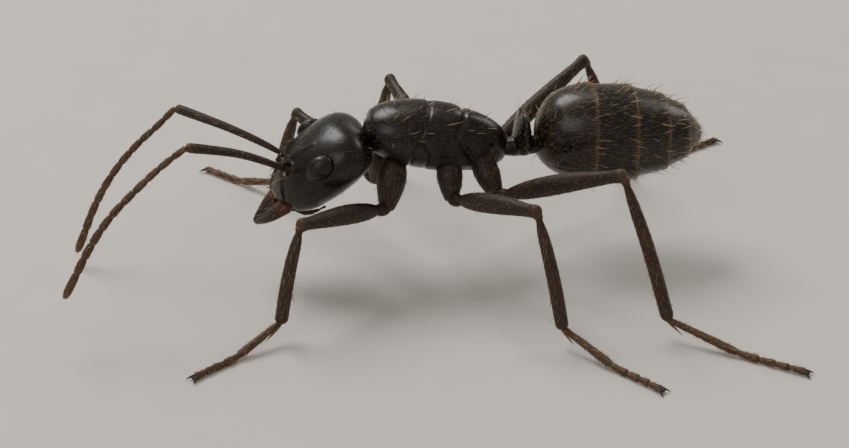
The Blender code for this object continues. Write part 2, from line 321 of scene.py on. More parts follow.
def relief(piece, *steps):
    """Raises a skin along its normals by a height times a share at each vertex, or engraves it below zero."""
    for shares, height in steps:
        group = piece.vertex_groups.new(name="relief")
        for index in np.flatnonzero(np.abs(shares) > LEAST_SHARE):
            group.add([int(index)], float(shares[index]), "REPLACE")
        apply_modifier(
            piece, "DISPLACE", strength=height, mid_level=0.0, vertex_group="relief", direction="NORMAL"
        )
        piece.vertex_groups.clear()


def place(piece, matrix=Matrix.Identity(4)):
    """Moves a piece from the bench to its place in the frame, in metres."""
    piece.matrix_basis = Matrix.Scale(MM, 4) @ matrix @ piece.matrix_basis
    settle(piece)
    with editing(piece):
        bpy.ops.mesh.normals_make_consistent(inside=False)
    bpy.ops.object.shade_smooth()
    return piece


def finish_piece(piece, material, slot, *nodes):
    """Gives a placed piece its material and its slot, ties it to the ant, and hides the solids that it stands
    for.
    """
    piece.data.materials.clear()
    piece.data.materials.append(material)
    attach(piece, "root")
    if nodes:
        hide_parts(*nodes)
    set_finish(piece, slot)


def ramp(values, start, end):
    """0 at start and 1 at end, with a soft curve between."""
    share = np.clip((values - start) / (end - start), 0.0, 1.0)
    return share * share * (3.0 - 2.0 * share)


def bell(distance, width):
    return np.exp(-((distance / width) ** 2))


def path_distance(points, path):
    """The distance from each point to a line of straight stretches, in the same two or three axes."""
    nearest = np.full(len(points), np.inf)
    for start, end in zip(path, path[1:]):
        start, along = np.array(start), np.array(end) - np.array(start)
        share = np.clip((points - start) @ along / (along @ along), 0.0, 1.0)
        gap = np.linalg.norm(points - start - share[:, None] * along, axis=1)
        nearest = np.minimum(nearest, gap)
    return nearest


class Outline(NamedTuple):
    """A rounded outline along a trunk: its greatest size, where that is, and how blunt each end is."""

    size: float
    peak: float
    front: float
    rear: float

    def at(self, t):
        reach = self.peak if t < self.peak else 1.0 - self.peak
        power = self.front if t < self.peak else self.rear
        return self.size * (1.0 - (abs(t - self.peak) / reach) ** power) ** (1.0 / power)


class Trunk(NamedTuple):
    """An egg-shaped skin along X, with outlines for its half width and for above and below its axis."""

    front: float
    length: float
    axis_front: float
    axis_rear: float
    width: Outline
    above: Outline
    below: Outline
    first: float = 0.0005
    last: float = 0.9995


def trunk_skin(name, trunk, rings, sides, lead=()):
    """A trunk's smooth skin, with its rings closer together at the ends, after any leading rings."""
    table = list(lead)
    for number in range(rings + 1):
        even = 0.5 - 0.5 * math.cos(math.pi * number / rings)
        t = trunk.first + even * (trunk.last - trunk.first)
        axis = trunk.axis_front + t * (trunk.axis_rear - trunk.axis_front)
        low, high = axis - trunk.below.at(t), axis + trunk.above.at(t)
        middle = (trunk.front + t * trunk.length, 0.0, (low + high) / 2)
        table.append((middle, (1.0, trunk.width.at(t), (high - low) / 2)))
    return smoothed(grow(name, table, sides), 3)


# ---- Head ----

HEAD_SHAPE = Trunk(
    front=-1.09,
    length=2.18,
    axis_front=-0.06,
    axis_rear=-0.06,
    width=Outline(0.945, 0.64, 1.95, 3.0),
    above=Outline(0.665, 0.58, 1.95, 2.6),
    below=Outline(0.605, 0.60, 2.3, 2.6),
    first=0.055,
)
MOUTH_HOLLOW = rings_at(
    (-0.80, -0.12, 0.12, 0.10), (-0.86, -0.11, 0.26, 0.20), (-0.93, -0.09, 0.33, 0.26),
    (-0.965, -0.07, 0.365, 0.285),
)
UPPER_LIP = rings_at(
    (-0.84, -0.02, 0.20, 0.07), (-0.94, -0.05, 0.27, 0.08), (-1.02, -0.09, 0.27, 0.07),
    (-1.10, -0.14, 0.17, 0.045), (-1.135, -0.18, 0.09, 0.02),
)
LOWER_LIP = rings_at(
    (-1.06, -0.285, 0.09, 0.025), (-1.03, -0.295, 0.19, 0.055), (-0.96, -0.305, 0.27, 0.095),
    (-0.85, -0.335, 0.32, 0.145), (-0.70, -0.400, 0.34, 0.160), (-0.57, -0.448, 0.29, 0.148),
    (-0.46, -0.490, 0.17, 0.100),
)
EYE_PLACE = np.array((0.16, 0.80, 0.30))
EYE_RADII = np.array((0.27, 0.15, 0.22))
EYE_TURN = math.radians(20.0)
SCAPE_ROOT = Vector((-0.42, 0.32, 0.40))
FRONTAL_RIDGE = (
    (-0.54, 0.125), (-0.44, 0.150), (-0.34, 0.205), (-0.20, 0.240), (-0.04, 0.255), (0.12, 0.285),
    (0.28, 0.335),
)
CHEEK_FOLD = ((-0.86, 0.50), (-0.45, 0.62))
THROAT_EDGE = ((-0.95, 0.42), (-0.60, 0.24), (-0.45, 0.0))
JAW_ROOT = [((-0.78, 0.400, -0.125), (1.0, 0.070, 0.050)), ((-0.85, 0.392, -0.112), (1.0, 0.135, 0.100))]
JAW_STATIONS = (0.02, 0.08, 0.18, 0.30, 0.43, 0.56, 0.68, 0.79, 0.88, 0.95, 0.99, 1.0)
JAW_GROOVES = (((-0.98, 0.44), (-1.24, 0.36), (-1.50, 0.17)), ((-0.98, 0.32), (-1.24, 0.24), (-1.44, 0.13)))
TOOTH = ((0.0, 0.052), (0.35, 0.044), (0.75, 0.020), (1.0, 0.004))
TOOTH_SIZES = (1.0, 0.80, 0.88, 0.76, 0.82, 0.72)
TOOTH_PITCH = 0.088
TOOTH_LENGTH = 0.125
FIRST_TOOTH = (-1.620, 0.078, -0.128)
TOOTH_TURN = Matrix.Rotation(math.radians(-118.0), 4, "Z")
JAW_VOXEL = 0.0105
EYE_FIT = 0.985  # the eye's size in its solid


def eye_depth(co):
    """How far each point is from the eye's middle, in eye radii, on either side of the head."""
    away = np.column_stack((co[:, 0], np.abs(co[:, 1]), co[:, 2])) - EYE_PLACE
    turned = away @ np.array(Matrix.Rotation(EYE_TURN, 3, "X"))
    return np.linalg.norm(turned / EYE_RADII, axis=1)


def model_head():
    head = trunk_skin("head_skin", HEAD_SHAPE, 22, 28, MOUTH_HOLLOW)
    co = points_of(head)
    x, y, z = co.T
    face = ramp(z, -0.05, 0.15)
    side = np.abs(y)
    plan = np.column_stack((x, side))
    in_shield = np.minimum(0.19 + 0.30 * ramp(-x, 0.42, 0.86) - side, -x - 0.42)
    ridge = bell(path_distance(plan, FRONTAL_RIDGE), 0.034) * (0.12 + 0.88 * ramp(-x, -0.25, 0.30))
    socket = np.hypot(x - SCAPE_ROOT.x, side - SCAPE_ROOT.y)
    jaw_socket = np.hypot((x + 0.90) / 0.20, (side - 0.40) / 0.20)
    eye = eye_depth(co)
    throat = ramp(-z, 0.20, 0.40)
    relief(
        head,
        (face * ramp(in_shield, 0.0, 0.035), 0.032),  # the shield over the mouth, its edge and its keel
        (face * bell(in_shield, 0.017), -0.022),
        (face * bell(y, 0.050) * ramp(-x, 0.44, 0.62), 0.034),
        (face * ridge, 0.075),
        (face * ramp(-socket, -0.125, -0.055), -0.085),  # the feelers' sockets and their rims
        (face * bell(socket - 0.142, 0.022), 0.020),
        (face * bell(y, 0.013) * ramp(x, -0.40, -0.30) * ramp(-x, -0.40, -0.10), -0.014),  # the brow
        (ramp(-eye, -1.05, -0.90), -0.070),
        (bell(eye - 1.12, 0.05), -0.010),
        (ramp(x, 0.55, 0.95) * bell(np.hypot(y / 0.42, (z - 0.12) / 0.40), 0.8), -0.070),  # the nape
        (bell(path_distance(plan, CHEEK_FOLD), 0.10) * ramp(-z, -0.15, 0.05), 0.022),
        (ramp(-jaw_socket, -1.0, -0.3) * ramp(-z, -0.10, 0.05), -0.040),
        (throat * bell(y, 0.020) * ramp(x, -0.80, -0.60), -0.018),
        (throat * bell(path_distance(plan, THROAT_EDGE), 0.03), -0.030),
    )
    pale = 0.34 * face * ramp(-x, 0.90, 0.99) + 0.25 * bell(socket - 0.13, 0.04) * face
    mark(head, lie=HEAD.to_3x3() @ AHEAD, pale=pale)
    return head


def model_tooth(number, shift):
    """One tooth, pointing inwards and ahead from the biting edge. Number 0 is at the jaw's tip."""
    tooth = grow_round("tooth", TOOTH, TOOTH_LENGTH * TOOTH_SIZES[number], 10)
    x, y, z = FIRST_TOOTH
    tooth.matrix_basis = Matrix.Translation((x + shift + TOOTH_PITCH * number, y, z)) @ TOOTH_TURN
    settle(tooth)
    return tooth


def model_jaw(side, sign):
    """A curved blade, rooted in the cheek, with teeth along its straight biting edge.

    It is modelled as a right jaw. The left one's teeth stand half a pitch back, between the right one's.
    """
    rings = list(JAW_ROOT)
    for share in JAW_STATIONS:
        outer = 0.015 + 0.54 * (1.0 - 0.94 * share**2.4)
        inner = 0.052 + 0.156 * ramp(0.30 - share, 0.0, 0.30) - 0.040 * ramp(share, 0.80, 1.0)
        shrink = 1.0 if share < 1.0 else 0.5
        half = max(0.014, (outer - inner) / 2) * shrink
        thick = (0.142 - 0.090 * share) * shrink
        middle = (-0.93 - 0.785 * share, (outer + inner) / 2, -0.10 - 0.04 * share**2)
        rings.append((middle, (1.0, half, thick)))
    blade = smoothed(grow("blade", rings, 18), 2)
    shift = TOOTH_PITCH / 2 if side == "left" else 0.0
    teeth = [model_tooth(number, shift) for number in range(len(TOOTH_SIZES))]
    jaw = joined("jaw_" + side, [blade, *teeth])
    fused(jaw, JAW_VOXEL, 2)
    x, y, z = points_of(jaw).T
    plan, top = np.column_stack((x, y)), ramp(z, -0.12, -0.05)
    relief(jaw, *((top * bell(path_distance(plan, groove), 0.018), -0.016) for groove in JAW_GROOVES))
    x, y, z = points_of(jaw).T
    pale = 0.10 + 0.50 * ramp(x, -1.25, -0.98) - 0.14 * ramp(-y * sign, -0.12, -0.02)
    mark(jaw, pale=pale, lie=HEAD.to_3x3() @ AHEAD)
    jaw.scale.y = sign
    return jaw


def model_eye():
    """An oval ball whose skin is parted into six-sided lenses, each one slightly domed."""
    bpy.ops.object.select_all(action="DESELECT")
    bpy.ops.mesh.primitive_ico_sphere_add(subdivisions=3, radius=1.0)
    eye = bpy.context.object
    with editing(eye):
        bpy.ops.mesh.bevel(offset_type="PERCENT", offset_pct=33.3, affect="VERTICES")
        bpy.ops.mesh.select_all(action="SELECT")
        bpy.ops.mesh.inset(thickness=0.012, depth=0.007, use_individual=True)
        bpy.ops.mesh.inset(thickness=0.013, depth=0.004, use_individual=True)
    put_in_order(eye)
    eye.scale = EYE_RADII * EYE_FIT
    return eye


# ---- Thorax, petiole and gaster ----

THORAX_SHAPE = Trunk(
    front=-2.13,
    length=2.86,
    axis_front=2.975,
    axis_rear=2.42,
    width=Outline(0.675, 0.28, 2.0, 2.0),
    above=Outline(0.725, 0.42, 2.1, 2.7),
    below=Outline(0.605, 0.50, 2.2, 2.6),
)
SUTURE_LEAN = math.radians(-22.0)
SUTURE_BOW = 0.14  # how far forward a suture bends at the flank
FIRST_SUTURE = Vector((-0.99, 0.0, 2.98))
SECOND_SUTURE = Vector((-0.23, 0.0, 2.98))
SIDE_SEAMS = (
    ((-1.02, 2.92), (-0.86, 2.62), (-0.98, 2.38), (-0.96, 2.12)),
    ((-0.34, 2.96), (-0.16, 2.66), (-0.04, 2.36), (-0.10, 2.06)),
    ((-0.86, 2.60), (-0.52, 2.54), (-0.12, 2.58)),
    ((-0.12, 2.50), (0.22, 2.34), (0.48, 2.26)),
)
MID_SWELLING = ((-0.75, 2.38), (-0.35, 2.34))
HIND_SWELLING = ((0.12, 2.22), (0.42, 2.16))
BREATHING_HOLE = (0.30, 2.62)

STEM_HEIGHT = 2.385
STEM = (
    (0.60, 0.13), (0.66, 0.165), (0.78, 0.19), (0.95, 0.20), (1.12, 0.195), (1.26, 0.18), (1.38, 0.165),
    (1.46, 0.14),
)
SCALE = (  # height, half width and half thickness of the waist's upright plate
    (2.26, 0.20, 0.13), (2.30, 0.30, 0.185), (2.45, 0.36, 0.195), (2.62, 0.40, 0.175), (2.80, 0.415, 0.145),
    (2.95, 0.39, 0.110), (3.06, 0.32, 0.080), (3.13, 0.21, 0.052), (3.16, 0.09, 0.025),
)

GASTER_SHAPE = Trunk(
    front=1.275,
    length=3.31,
    axis_front=2.42,
    axis_rear=2.36,
    width=Outline(0.895, 0.42, 2.5, 1.9),
    above=Outline(1.085, 0.34, 2.7, 1.8),
    below=Outline(0.835, 0.42, 2.2, 1.9),
)
WAIST_VOXEL = 0.016
PLATE_EDGES = (0.0, 0.34, 0.58, 0.77, 0.90, 1.04)
PLATE_STEP = 0.046
PLATE_BOW = 0.030  # how far a plate's edge bends back at the sides
PALE_RIM = (0.036, 0.002)  # how far before a plate's edge its pale rim starts, and is at its palest


def behind_suture(co, suture):
    """Signed distance behind a suture's leaning plane, with the suture bowed forward at the sides."""
    normal = np.array((math.cos(SUTURE_LEAN), 0.0, math.sin(SUTURE_LEAN)))
    return (co - np.array(suture)) @ normal + SUTURE_BOW * (co[:, 1] / 0.7) ** 2


def model_thorax():
    thorax = trunk_skin("thorax_skin", THORAX_SHAPE, 24, 26)
    co = points_of(thorax)
    x, y, z = co.T
    first, second = behind_suture(co, FIRST_SUTURE), behind_suture(co, SECOND_SUTURE)
    between = ramp(first, 0.02, 0.25) * ramp(-second, 0.0, 0.25)
    flank = ramp(np.abs(y), 0.20, 0.34)
    profile = np.column_stack((x, z))
    from_hole = np.hypot(x - BREATHING_HOLE[0], (z - BREATHING_HOLE[1]) / 1.3)
    relief(
        thorax,
        (ramp(first, -0.55, -0.02) * ramp(-first, 0.0, 0.02), 0.030),  # the collar plate laps over the next
        (bell(first - 0.02, 0.022), -0.030),
        (between * ramp(z, 2.9, 3.2), 0.035),
        (bell(second, 0.045) * ramp(z, 2.7, 3.0), -0.055),
        *((flank * bell(path_distance(profile, seam), 0.022), -0.048) for seam in SIDE_SEAMS),
        (flank * bell(path_distance(profile, MID_SWELLING), 0.20), 0.035),
        (flank * bell(path_distance(profile, HIND_SWELLING), 0.13), 0.040),
        (flank * bell(from_hole - 0.062, 0.020), 0.022),
        (flank * ramp(-from_hole, -0.055, -0.03), -0.045),
        (ramp(np.abs(y), 0.15, 0.45) * bell(x + 0.10, 0.34) * ramp(z, 2.3, 2.7), -0.060),  # the pinch
        (ramp(-x, 1.90, 2.05), -0.05),  # the neck
    )
    mark(thorax, lie=(1.0, 0.0, -0.15), pale=0.12 * bell(first, 0.03) + 0.10 * bell(second, 0.04))
    return thorax


def model_petiole():
    """The waist's stem and its upright scale, fused into one smooth piece."""
    stem = rings_at(*((x, STEM_HEIGHT, radius * 1.05, radius) for x, radius in STEM))
    scale = []
    for height, across, thick in SCALE:
        scale.append(((1.02 + 0.03 * (height - 2.4), 0.0, height), (thick, across, 1.0)))
    pieces = [smoothed(grow("stem", stem, 20), 2), smoothed(grow("scale", scale, 24, "Z"), 2)]
    petiole = joined("petiole_skin", pieces)
    fused(petiole, WAIST_VOXEL, 6)
    x, y, z = points_of(petiole).T
    relief(petiole, (bell(y, 0.10) * ramp(z, 2.95, 3.15), -0.030))
    mark(petiole, lie=(0.25, 0.0, 1.0))
    return petiole


def model_gaster():
    """Overlapping rings of plate: each one steps down to the next, above and below its side seam."""
    gaster = trunk_skin("gaster_skin", GASTER_SHAPE, 34, 30)
    x, y, z = points_of(gaster).T
    share = (x - GASTER_SHAPE.front) / GASTER_SHAPE.length
    bowed = share + PLATE_BOW * (y / GASTER_SHAPE.width.size) ** 2 - 0.012 * ramp(-z, -2.4, -1.6)
    phase, rim = np.zeros(len(x)), np.zeros(len(x))
    for start, end in zip(PLATE_EDGES, PLATE_EDGES[1:]):
        inside = (bowed >= start) & (bowed < end)
        phase[inside] = (bowed[inside] - start) / (end - start)
        rim += inside * ramp(bowed, end - PALE_RIM[0], end - PALE_RIM[1]) ** 2
    taper = ramp(-share, -1.0, -0.86)
    side_seam = z - (2.16 + 0.10 * share)
    behind_waist = ramp(share, 0.04, 0.12)
    relief(
        gaster,
        (taper * phase**2.2, PLATE_STEP),
        (taper * ramp(side_seam, 0.0, 0.022) * behind_waist, 0.022),
        (taper * bell(side_seam + 0.02, 0.022) * behind_waist, -0.016),
        (bell(share - 0.985, 0.010), 0.020),  # the tail's rim
    )
    mark(gaster, lie=(1.0, 0.0, -0.05), pale=0.62 * rim * taper + 0.5 * ramp(share, 0.97, 1.0))
    return gaster


# ---- Limbs ----

# Profiles are pairs of the share of a part's length and its radius.
COXA = (
    (0.0, 0.14), (0.10, 0.200), (0.25, 0.245), (0.42, 0.262), (0.64, 0.232), (0.85, 0.168), (0.95, 0.140),
    (0.985, 0.115), (1.0, 0.07),
)
TROCHANTER = ((0.0, 0.06), (0.10, 0.115), (0.40, 0.140), (0.75, 0.130), (0.95, 0.095), (1.0, 0.05))
FEMUR = (
    (0.0, 0.05), (0.02, 0.10), (0.08, 0.145), (0.20, 0.188), (0.36, 0.208), (0.55, 0.192), (0.74, 0.156),
    (0.86, 0.128), (0.91, 0.126), (0.955, 0.146), (0.980, 0.138), (0.993, 0.105), (1.0, 0.05),
)
TIBIA = (
    (0.0, 0.05), (0.012, 0.085), (0.034, 0.094), (0.060, 0.064), (0.082, 0.068), (0.13, 0.096), (0.26, 0.118),
    (0.50, 0.130), (0.75, 0.133), (0.90, 0.129), (0.955, 0.131), (0.972, 0.122), (0.992, 0.086), (1.0, 0.05),
)
SCAPE = (
    (0.0, 0.035), (0.01, 0.066), (0.028, 0.074), (0.045, 0.052), (0.062, 0.046), (0.1, 0.064), (0.3, 0.076),
    (0.7, 0.087), (0.92, 0.1), (0.975, 0.096), (0.992, 0.075), (1.0, 0.035),
)
TARSUS_JOINTS = (  # start, end and radius of each of the foot's joints
    (0.0, 0.5, 0.080), (0.5, 0.645, 0.074), (0.645, 0.755, 0.070), (0.755, 0.845, 0.068),
    (0.845, 0.955, 0.066),
)
TARSUS_RING = ((0.0, 0.60), (0.05, 0.80), (0.45, 0.88), (0.85, 1.05), (0.95, 0.98), (1.0, 0.60))
FEELER_RING = ((0.0, 0.70), (0.07, 0.90), (0.30, 0.97), (0.75, 1.04), (0.94, 0.97), (1.0, 0.70))
FEELER_TIP = [(0.975, 0.066), (0.993, 0.042), (1.0, 0.015)]
FEELER_JOINTS = 11
LAST_JOINT = 1.75  # the last joint's length, in joints
FEELER_END = 0.36  # from the last measured middle to the tip
CLAW = ((0.0, 0.030), (0.20, 0.031), (0.4, 0.026), (0.6, 0.020), (0.8, 0.013), (1.0, 0.004))
PAD = ((0.0, 0.016), (0.3, 0.024), (0.7, 0.031), (0.93, 0.023), (1.0, 0.008))
SPUR = ((0.0, 0.022), (0.20, 0.030), (0.60, 0.021), (0.85, 0.012), (1.0, 0.004))
SPUR_SIZES = {"fore": (0.52, -0.06), "mid": (0.42, 0.0), "hind": (0.44, 0.0)}  # length and droop
CLAW_LENGTH, CLAW_DROOP = 0.19, 0.068
CLAW_SPREAD = 0.62  # how far outwards a claw goes for each step ahead
PAD_LENGTH, PAD_DROOP = 0.105, 0.012
CLAW_START = 0.945  # the share of the foot where its claws start
PALPS = ((0.17, 0.30, -0.40, 0.07), (0.07, 0.10, -0.62, 0.12))  # start and end across, end along, drop
SHIN, FOOT, CHAIN = 1, 2, 3  # the bones whose coats differ from a plain one
END_PALE = 0.35  # how much paler a bone is at its ends
COXA_REACH = 0.60  # from the coxa solid's first straight share back to the root
THIGH_BOW = 0.035
SHIN_BOW = 0.05
FORE_COXA = 1.12  # the fore coxa's thickness over the others'
FOOT_RADIUS = 0.079
FOOT_BEND = 0.52  # the share of the foot where it comes down to the ground
ANKLE_HEIGHT = 0.40


def ringed_shape(joints, ring):
    """A chain of like joints as one row of (share of the whole length, radius) pairs."""
    shape = []
    for start, end, radius in joints:
        for share, swell in ring:
            at = start + (end - start) * share
            if shape and at - shape[-1][0] < 1e-6:
                at = shape[-1][0] + 0.002
            shape.append((at, radius * swell))
    return shape


def bowed_line(start, end, bow):
    """A line's two ends, with its middle moved sideways and up by the bow."""
    way = (end - start).normalized()
    up = (UP - way * way.z).normalized()
    return [start, (start + end) / 2 + up * bow, end]


def lay_along(piece, points):
    """Bends a straight limb from +X onto a smooth line through points, and keeps the way of its hairs."""
    curve = bpy.data.curves.new("line", "CURVE")
    curve.dimensions = "3D"
    curve.twist_mode = "Z_UP"
    curve.resolution_u = 24
    spline = curve.splines.new("BEZIER")
    spline.bezier_points.add(len(points) - 1)
    for knot, point in zip(spline.bezier_points, points):
        knot.co = point
        knot.handle_left_type = knot.handle_right_type = "AUTO"
    line = bpy.data.objects.new("line", curve)
    bpy.context.scene.collection.objects.link(line)
    apply_modifier(piece, "CURVE", object=line, deform_axis="POS_X")
    bpy.data.objects.remove(line)
    bpy.data.curves.remove(curve)
    mark(piece, lie=(points[-1] - points[0]).normalized())
    return piece


def limb_part(name, shape, points, sides=14, levels=1, pale=0.0, flat=1.0, bone=0):
    """A limb's part grown straight, smoothed, toned and laid along its line."""
    length = sum((b - a).length for a, b in zip(points, points[1:]))
    part = smoothed(grow_round(name, shape, length, sides, flat=flat), levels)
    along = points_of(part)[:, 0] / length
    pale = pale + END_PALE * ramp(along, 0.93, 1.0) + END_PALE * ramp(-along, -0.06, 0.0)
    mark(part, pale=pale, share=along, bone=bone)
    return lay_along(part, points)


def turned_limb(part, start, way):
    """A small straight limb put at a place, pointing along a way."""
    turn = way.to_track_quat("X", "Z").to_matrix().to_4x4()
    part.matrix_basis = Matrix.Translation(start) @ turn
    settle(part)
    mark(part, lie=way.normalized())
    return smoothed(part, 1)


def leg_line(leg):
    """A leg's root, hip, knee, ankle and toe, measured on its solids."""
    trunk = BODY @ (UP * TRUNK_HEIGHT)
    hip = far_joint("coxa", leg, trunk)
    near, far = crossings("coxa_" + leg, trunk, STRAIGHT)
    knee = far_joint("femur", leg, hip)
    ankle = far_joint("tibia", leg, knee)
    ankle.z = ANKLE_HEIGHT
    way = crossings("tarsus_" + leg, ankle, (0.9,))[0] - ankle
    way.z = 0.0
    way.normalize()
    toe = ankle + way * reach_of("tarsus_" + leg, ankle, way)
    toe.z = FOOT_RADIUS
    root = near + (near - far).normalized() * COXA_REACH
    return root, hip, knee, ankle, toe


def foot_points(ankle, toe):
    """The foot slopes straight down from the ankle along its first joint, then lies along the ground."""
    points = []
    for share in (0.0, 0.25, 0.47, 0.56, 0.78, 1.0):
        point = ankle.lerp(toe, share)
        slope = min(1.0, share / FOOT_BEND)
        point.z = ANKLE_HEIGHT + (FOOT_RADIUS - ANKLE_HEIGHT) * slope
        points.append(point)
    return points


def model_leg(leg):
    pair = leg.split("_")[0]
    root, hip, knee, ankle, toe = leg_line(leg)
    thigh, shin, heading = ((b - a).normalized() for a, b in ((hip, knee), (knee, ankle), (ankle, toe)))
    thick = FORE_COXA if pair == "fore" else 1.0
    coxa = [(share, radius * thick) for share, radius in COXA]
    coxa_line = [root, hip + (hip - root).normalized() * 0.04]
    thigh_line = bowed_line(hip + thigh * 0.24, knee + thigh * 0.06, THIGH_BOW)
    shin_line = bowed_line(knee + shin * 0.02, ankle + shin * 0.03, SHIN_BOW)
    foot = ringed_shape(TARSUS_JOINTS, TARSUS_RING)
    pieces = [
        limb_part("coxa", coxa, coxa_line, 18, 2),
        limb_part("trochanter", TROCHANTER, [hip - thigh * 0.04, hip + thigh * 0.30]),
        limb_part("femur", FEMUR, thigh_line, 16, 2, flat=0.86),
        limb_part("tibia", TIBIA, shin_line, 14, 2, 0.10, bone=SHIN),
        limb_part("tarsus", foot, foot_points(ankle, toe), pale=0.38, bone=FOOT),
    ]
    length, droop = SPUR_SIZES[pair]
    spur = grow_round("spur", SPUR, length, 8, droop=droop)
    spur = turned_limb(spur, ankle + shin * 0.02 - heading * 0.06, shin * 0.65 + heading * 0.80)
    mark(spur, pale=0.8)
    return joined("leg_skin_" + leg, pieces + [spur])


def model_claw():
    return grow_round("claw", CLAW, CLAW_LENGTH, 10, droop=CLAW_DROOP)


def model_pad():
    return grow_round("pad", PAD, PAD_LENGTH, 12, droop=PAD_DROOP, flat=1.45)


def claws_for(leg, claw, pad):
    """A foot's two hooked claws, with the soft pad between them, copied from a claw and a pad."""
    *_, ankle, toe = leg_line(leg)
    heading = toe - ankle
    heading.z = 0.0
    start = ankle + heading.normalized() * (heading.length * CLAW_START)
    start.z = FOOT_RADIUS + 0.004
    heading.normalize()
    across = UP.cross(heading)
    pieces = []
    for sign in (-1.0, 1.0):
        way = heading + across * CLAW_SPREAD * sign
        pieces.append(turned_limb(copied(claw, "claw"), start + across * 0.022 * sign, way))
    pieces.append(turned_limb(copied(pad, "pad"), start - UP * 0.010, heading.copy()))
    return joined("claws_" + leg, pieces)


def model_feeler(side):
    root = HEAD @ (SCAPE_ROOT * Vector((1.0, SIDES[side], 1.0)))
    elbow = far_joint("scape", side, root)
    scape_line = [root, *crossings("scape_" + side, root, (0.2, 0.45, 0.7)), elbow]
    middles = crossings("funiculus_" + side, elbow, (0.1, 0.3, 0.5, 0.7, 0.9))
    tip = middles[-1] + (middles[-1] - middles[-2]).normalized() * FEELER_END
    length = FEELER_JOINTS - 1 + LAST_JOINT
    joints = []
    for number in range(FEELER_JOINTS):
        end = number + 1.0 if number < FEELER_JOINTS - 1 else length
        joints.append((number / length, end / length, 0.064 + 0.020 * number / FEELER_JOINTS))
    shape = ringed_shape(joints, FEELER_RING)
    shape[-2:] = FEELER_TIP
    scape = limb_part("scape", SCAPE, scape_line, 16, 2, pale=0.05)
    chain = limb_part("chain", shape, [elbow, *middles, tip], 16, 1, pale=0.35, bone=CHAIN)
    return joined("feeler_" + side, [scape, chain])


def model_mouth():
    """The upper and lower lips and the mouth's four thin feelers, folded back under the head."""
    upper, lower = smoothed(grow("mouth", UPPER_LIP, 20), 2), smoothed(grow("lip", LOWER_LIP, 28), 2)
    x, y, z = points_of(lower).T
    relief(lower, (bell(np.abs(y) - 0.105, 0.020) * ramp(-z, 0.20, 0.30), -0.030))
    x, y, z = points_of(upper).T
    relief(upper, (bell(y, 0.030) * ramp(-x, 0.95, 1.05), -0.030))
    for lip in (upper, lower):
        mark(lip, pale=0.12, lie=HEAD.to_3x3() @ Vector((-1.0, 0.0, -0.6)))
    pieces = [upper, lower]
    shape = ringed_shape([(n / 5, (n + 1) / 5, 0.037 - 0.003 * n) for n in range(5)], TARSUS_RING)
    for sign in (-1.0, 1.0):
        for start_y, far_y, far_x, drop in PALPS:
            start = Vector((-0.93, start_y * sign, -0.34))
            bend = Vector((-0.80, (start_y + far_y) / 2 * sign, -0.50 - drop))
            end = Vector((far_x, far_y * sign, -0.60 - drop))
            pieces.append(limb_part("palp", shape, [start, bend, end], 10, 1, pale=0.42, bone=CHAIN))
    return joined("mouth", pieces)


# ---- Coat ----


class Hairs(NamedTuple):
    """One kind of hair: sizes in millimetres, number on each square millimetre, and how it stands."""

    setting: str  # the coat's setting that its length is a share of
    length: float
    thickness: float
    density: float
    lift: float  # degrees between the hair's root and the skin
    curl: float  # how far the tip turns back to the skin's own lie
    stations: int = 3
    apart: float = 0.0  # least distance between two roots
    tone: float = 1.0  # how far its colour goes towards the pale tip's


HEAD_HAIRS = (
    Hairs("bristle", 0.85, 0.016, 5.0, 62.0, 0.35, 4, 0.20),
    Hairs("bristle", 0.95, 0.016, 26.0, 40.0, 0.5, 4, 0.10),
    Hairs("down", 0.56, 0.0044, 330.0, 14.0, 0.8, tone=0.32),
)
MOUTH_HAIRS = (
    Hairs("bristle", 0.42, 0.010, 60.0, 34.0, 0.2, 3, 0.06),
    Hairs("down", 0.5, 0.0060, 260.0, 26.0, 0.4),
)
THORAX_HAIRS = (
    Hairs("bristle", 1.0, 0.017, 11.0, 68.0, 0.30, 4, 0.16),
    Hairs("down", 0.70, 0.0044, 370.0, 14.0, 0.8, tone=0.36),
)
PETIOLE_HAIRS = (
    Hairs("bristle", 0.9, 0.013, 40.0, 60.0, 0.2, 4, 0.08),
    Hairs("down", 0.7, 0.0065, 150.0, 20.0, 0.8),
)
GASTER_HAIRS = (
    Hairs("bristle", 1.12, 0.018, 34.0, 52.0, 0.35, 4, 0.13),
    Hairs("bristle", 1.0, 0.018, 3.2, 60.0, 0.35, 4, 0.25),
    Hairs("bristle", 0.8, 0.012, 110.0, 30.0, 0.3, 4, 0.05),
    Hairs("down", 1.05, 0.0050, 420.0, 12.0, 0.85, tone=0.55),
)
JAW_HAIRS = (Hairs("bristle", 0.5, 0.011, 34.0, 40.0, 0.5, 4, 0.08),)
FEELER_HAIRS = (
    Hairs("down", 0.55, 0.0065, 420.0, 28.0, 0.5),
    Hairs("down", 0.6, 0.0065, 160.0, 20.0, 0.6),
    Hairs("bristle", 0.42, 0.010, 9.0, 48.0, 0.3, 3, 0.12),
)
LEG_HAIRS = (
    Hairs("down", 0.70, 0.0062, 210.0, 22.0, 0.6, tone=0.7),
    Hairs("bristle", 0.52, 0.011, 14.0, 42.0, 0.35, 3, 0.10),
    Hairs("down", 0.85, 0.009, 260.0, 38.0, 0.3),
    Hairs("bristle", 0.62, 0.014, 46.0, 36.0, 0.15, 3, 0.09),
)
SIDES_OF_HAIR = 3
ROOT_DEPTH = 0.006  # how far a hair starts inside the skin
STRAY, LIFT_SPREAD = 0.22, 0.16  # how far hairs differ in heading and in lift
LENGTH_SPREAD = (-0.30, 0.22)
TRIES = 4  # draws for each root that keeps its distance from others
CLEARANCE = 0.012  # from a root to where the search for open air starts
HEADROOM = 0.05  # open air above a hair's tip
UNWRAP_ANGLE = math.radians(66.0)
ISLAND_GAP = 0.002
PATCH = 0.0015  # half the width of a hair's patch on the coat's map


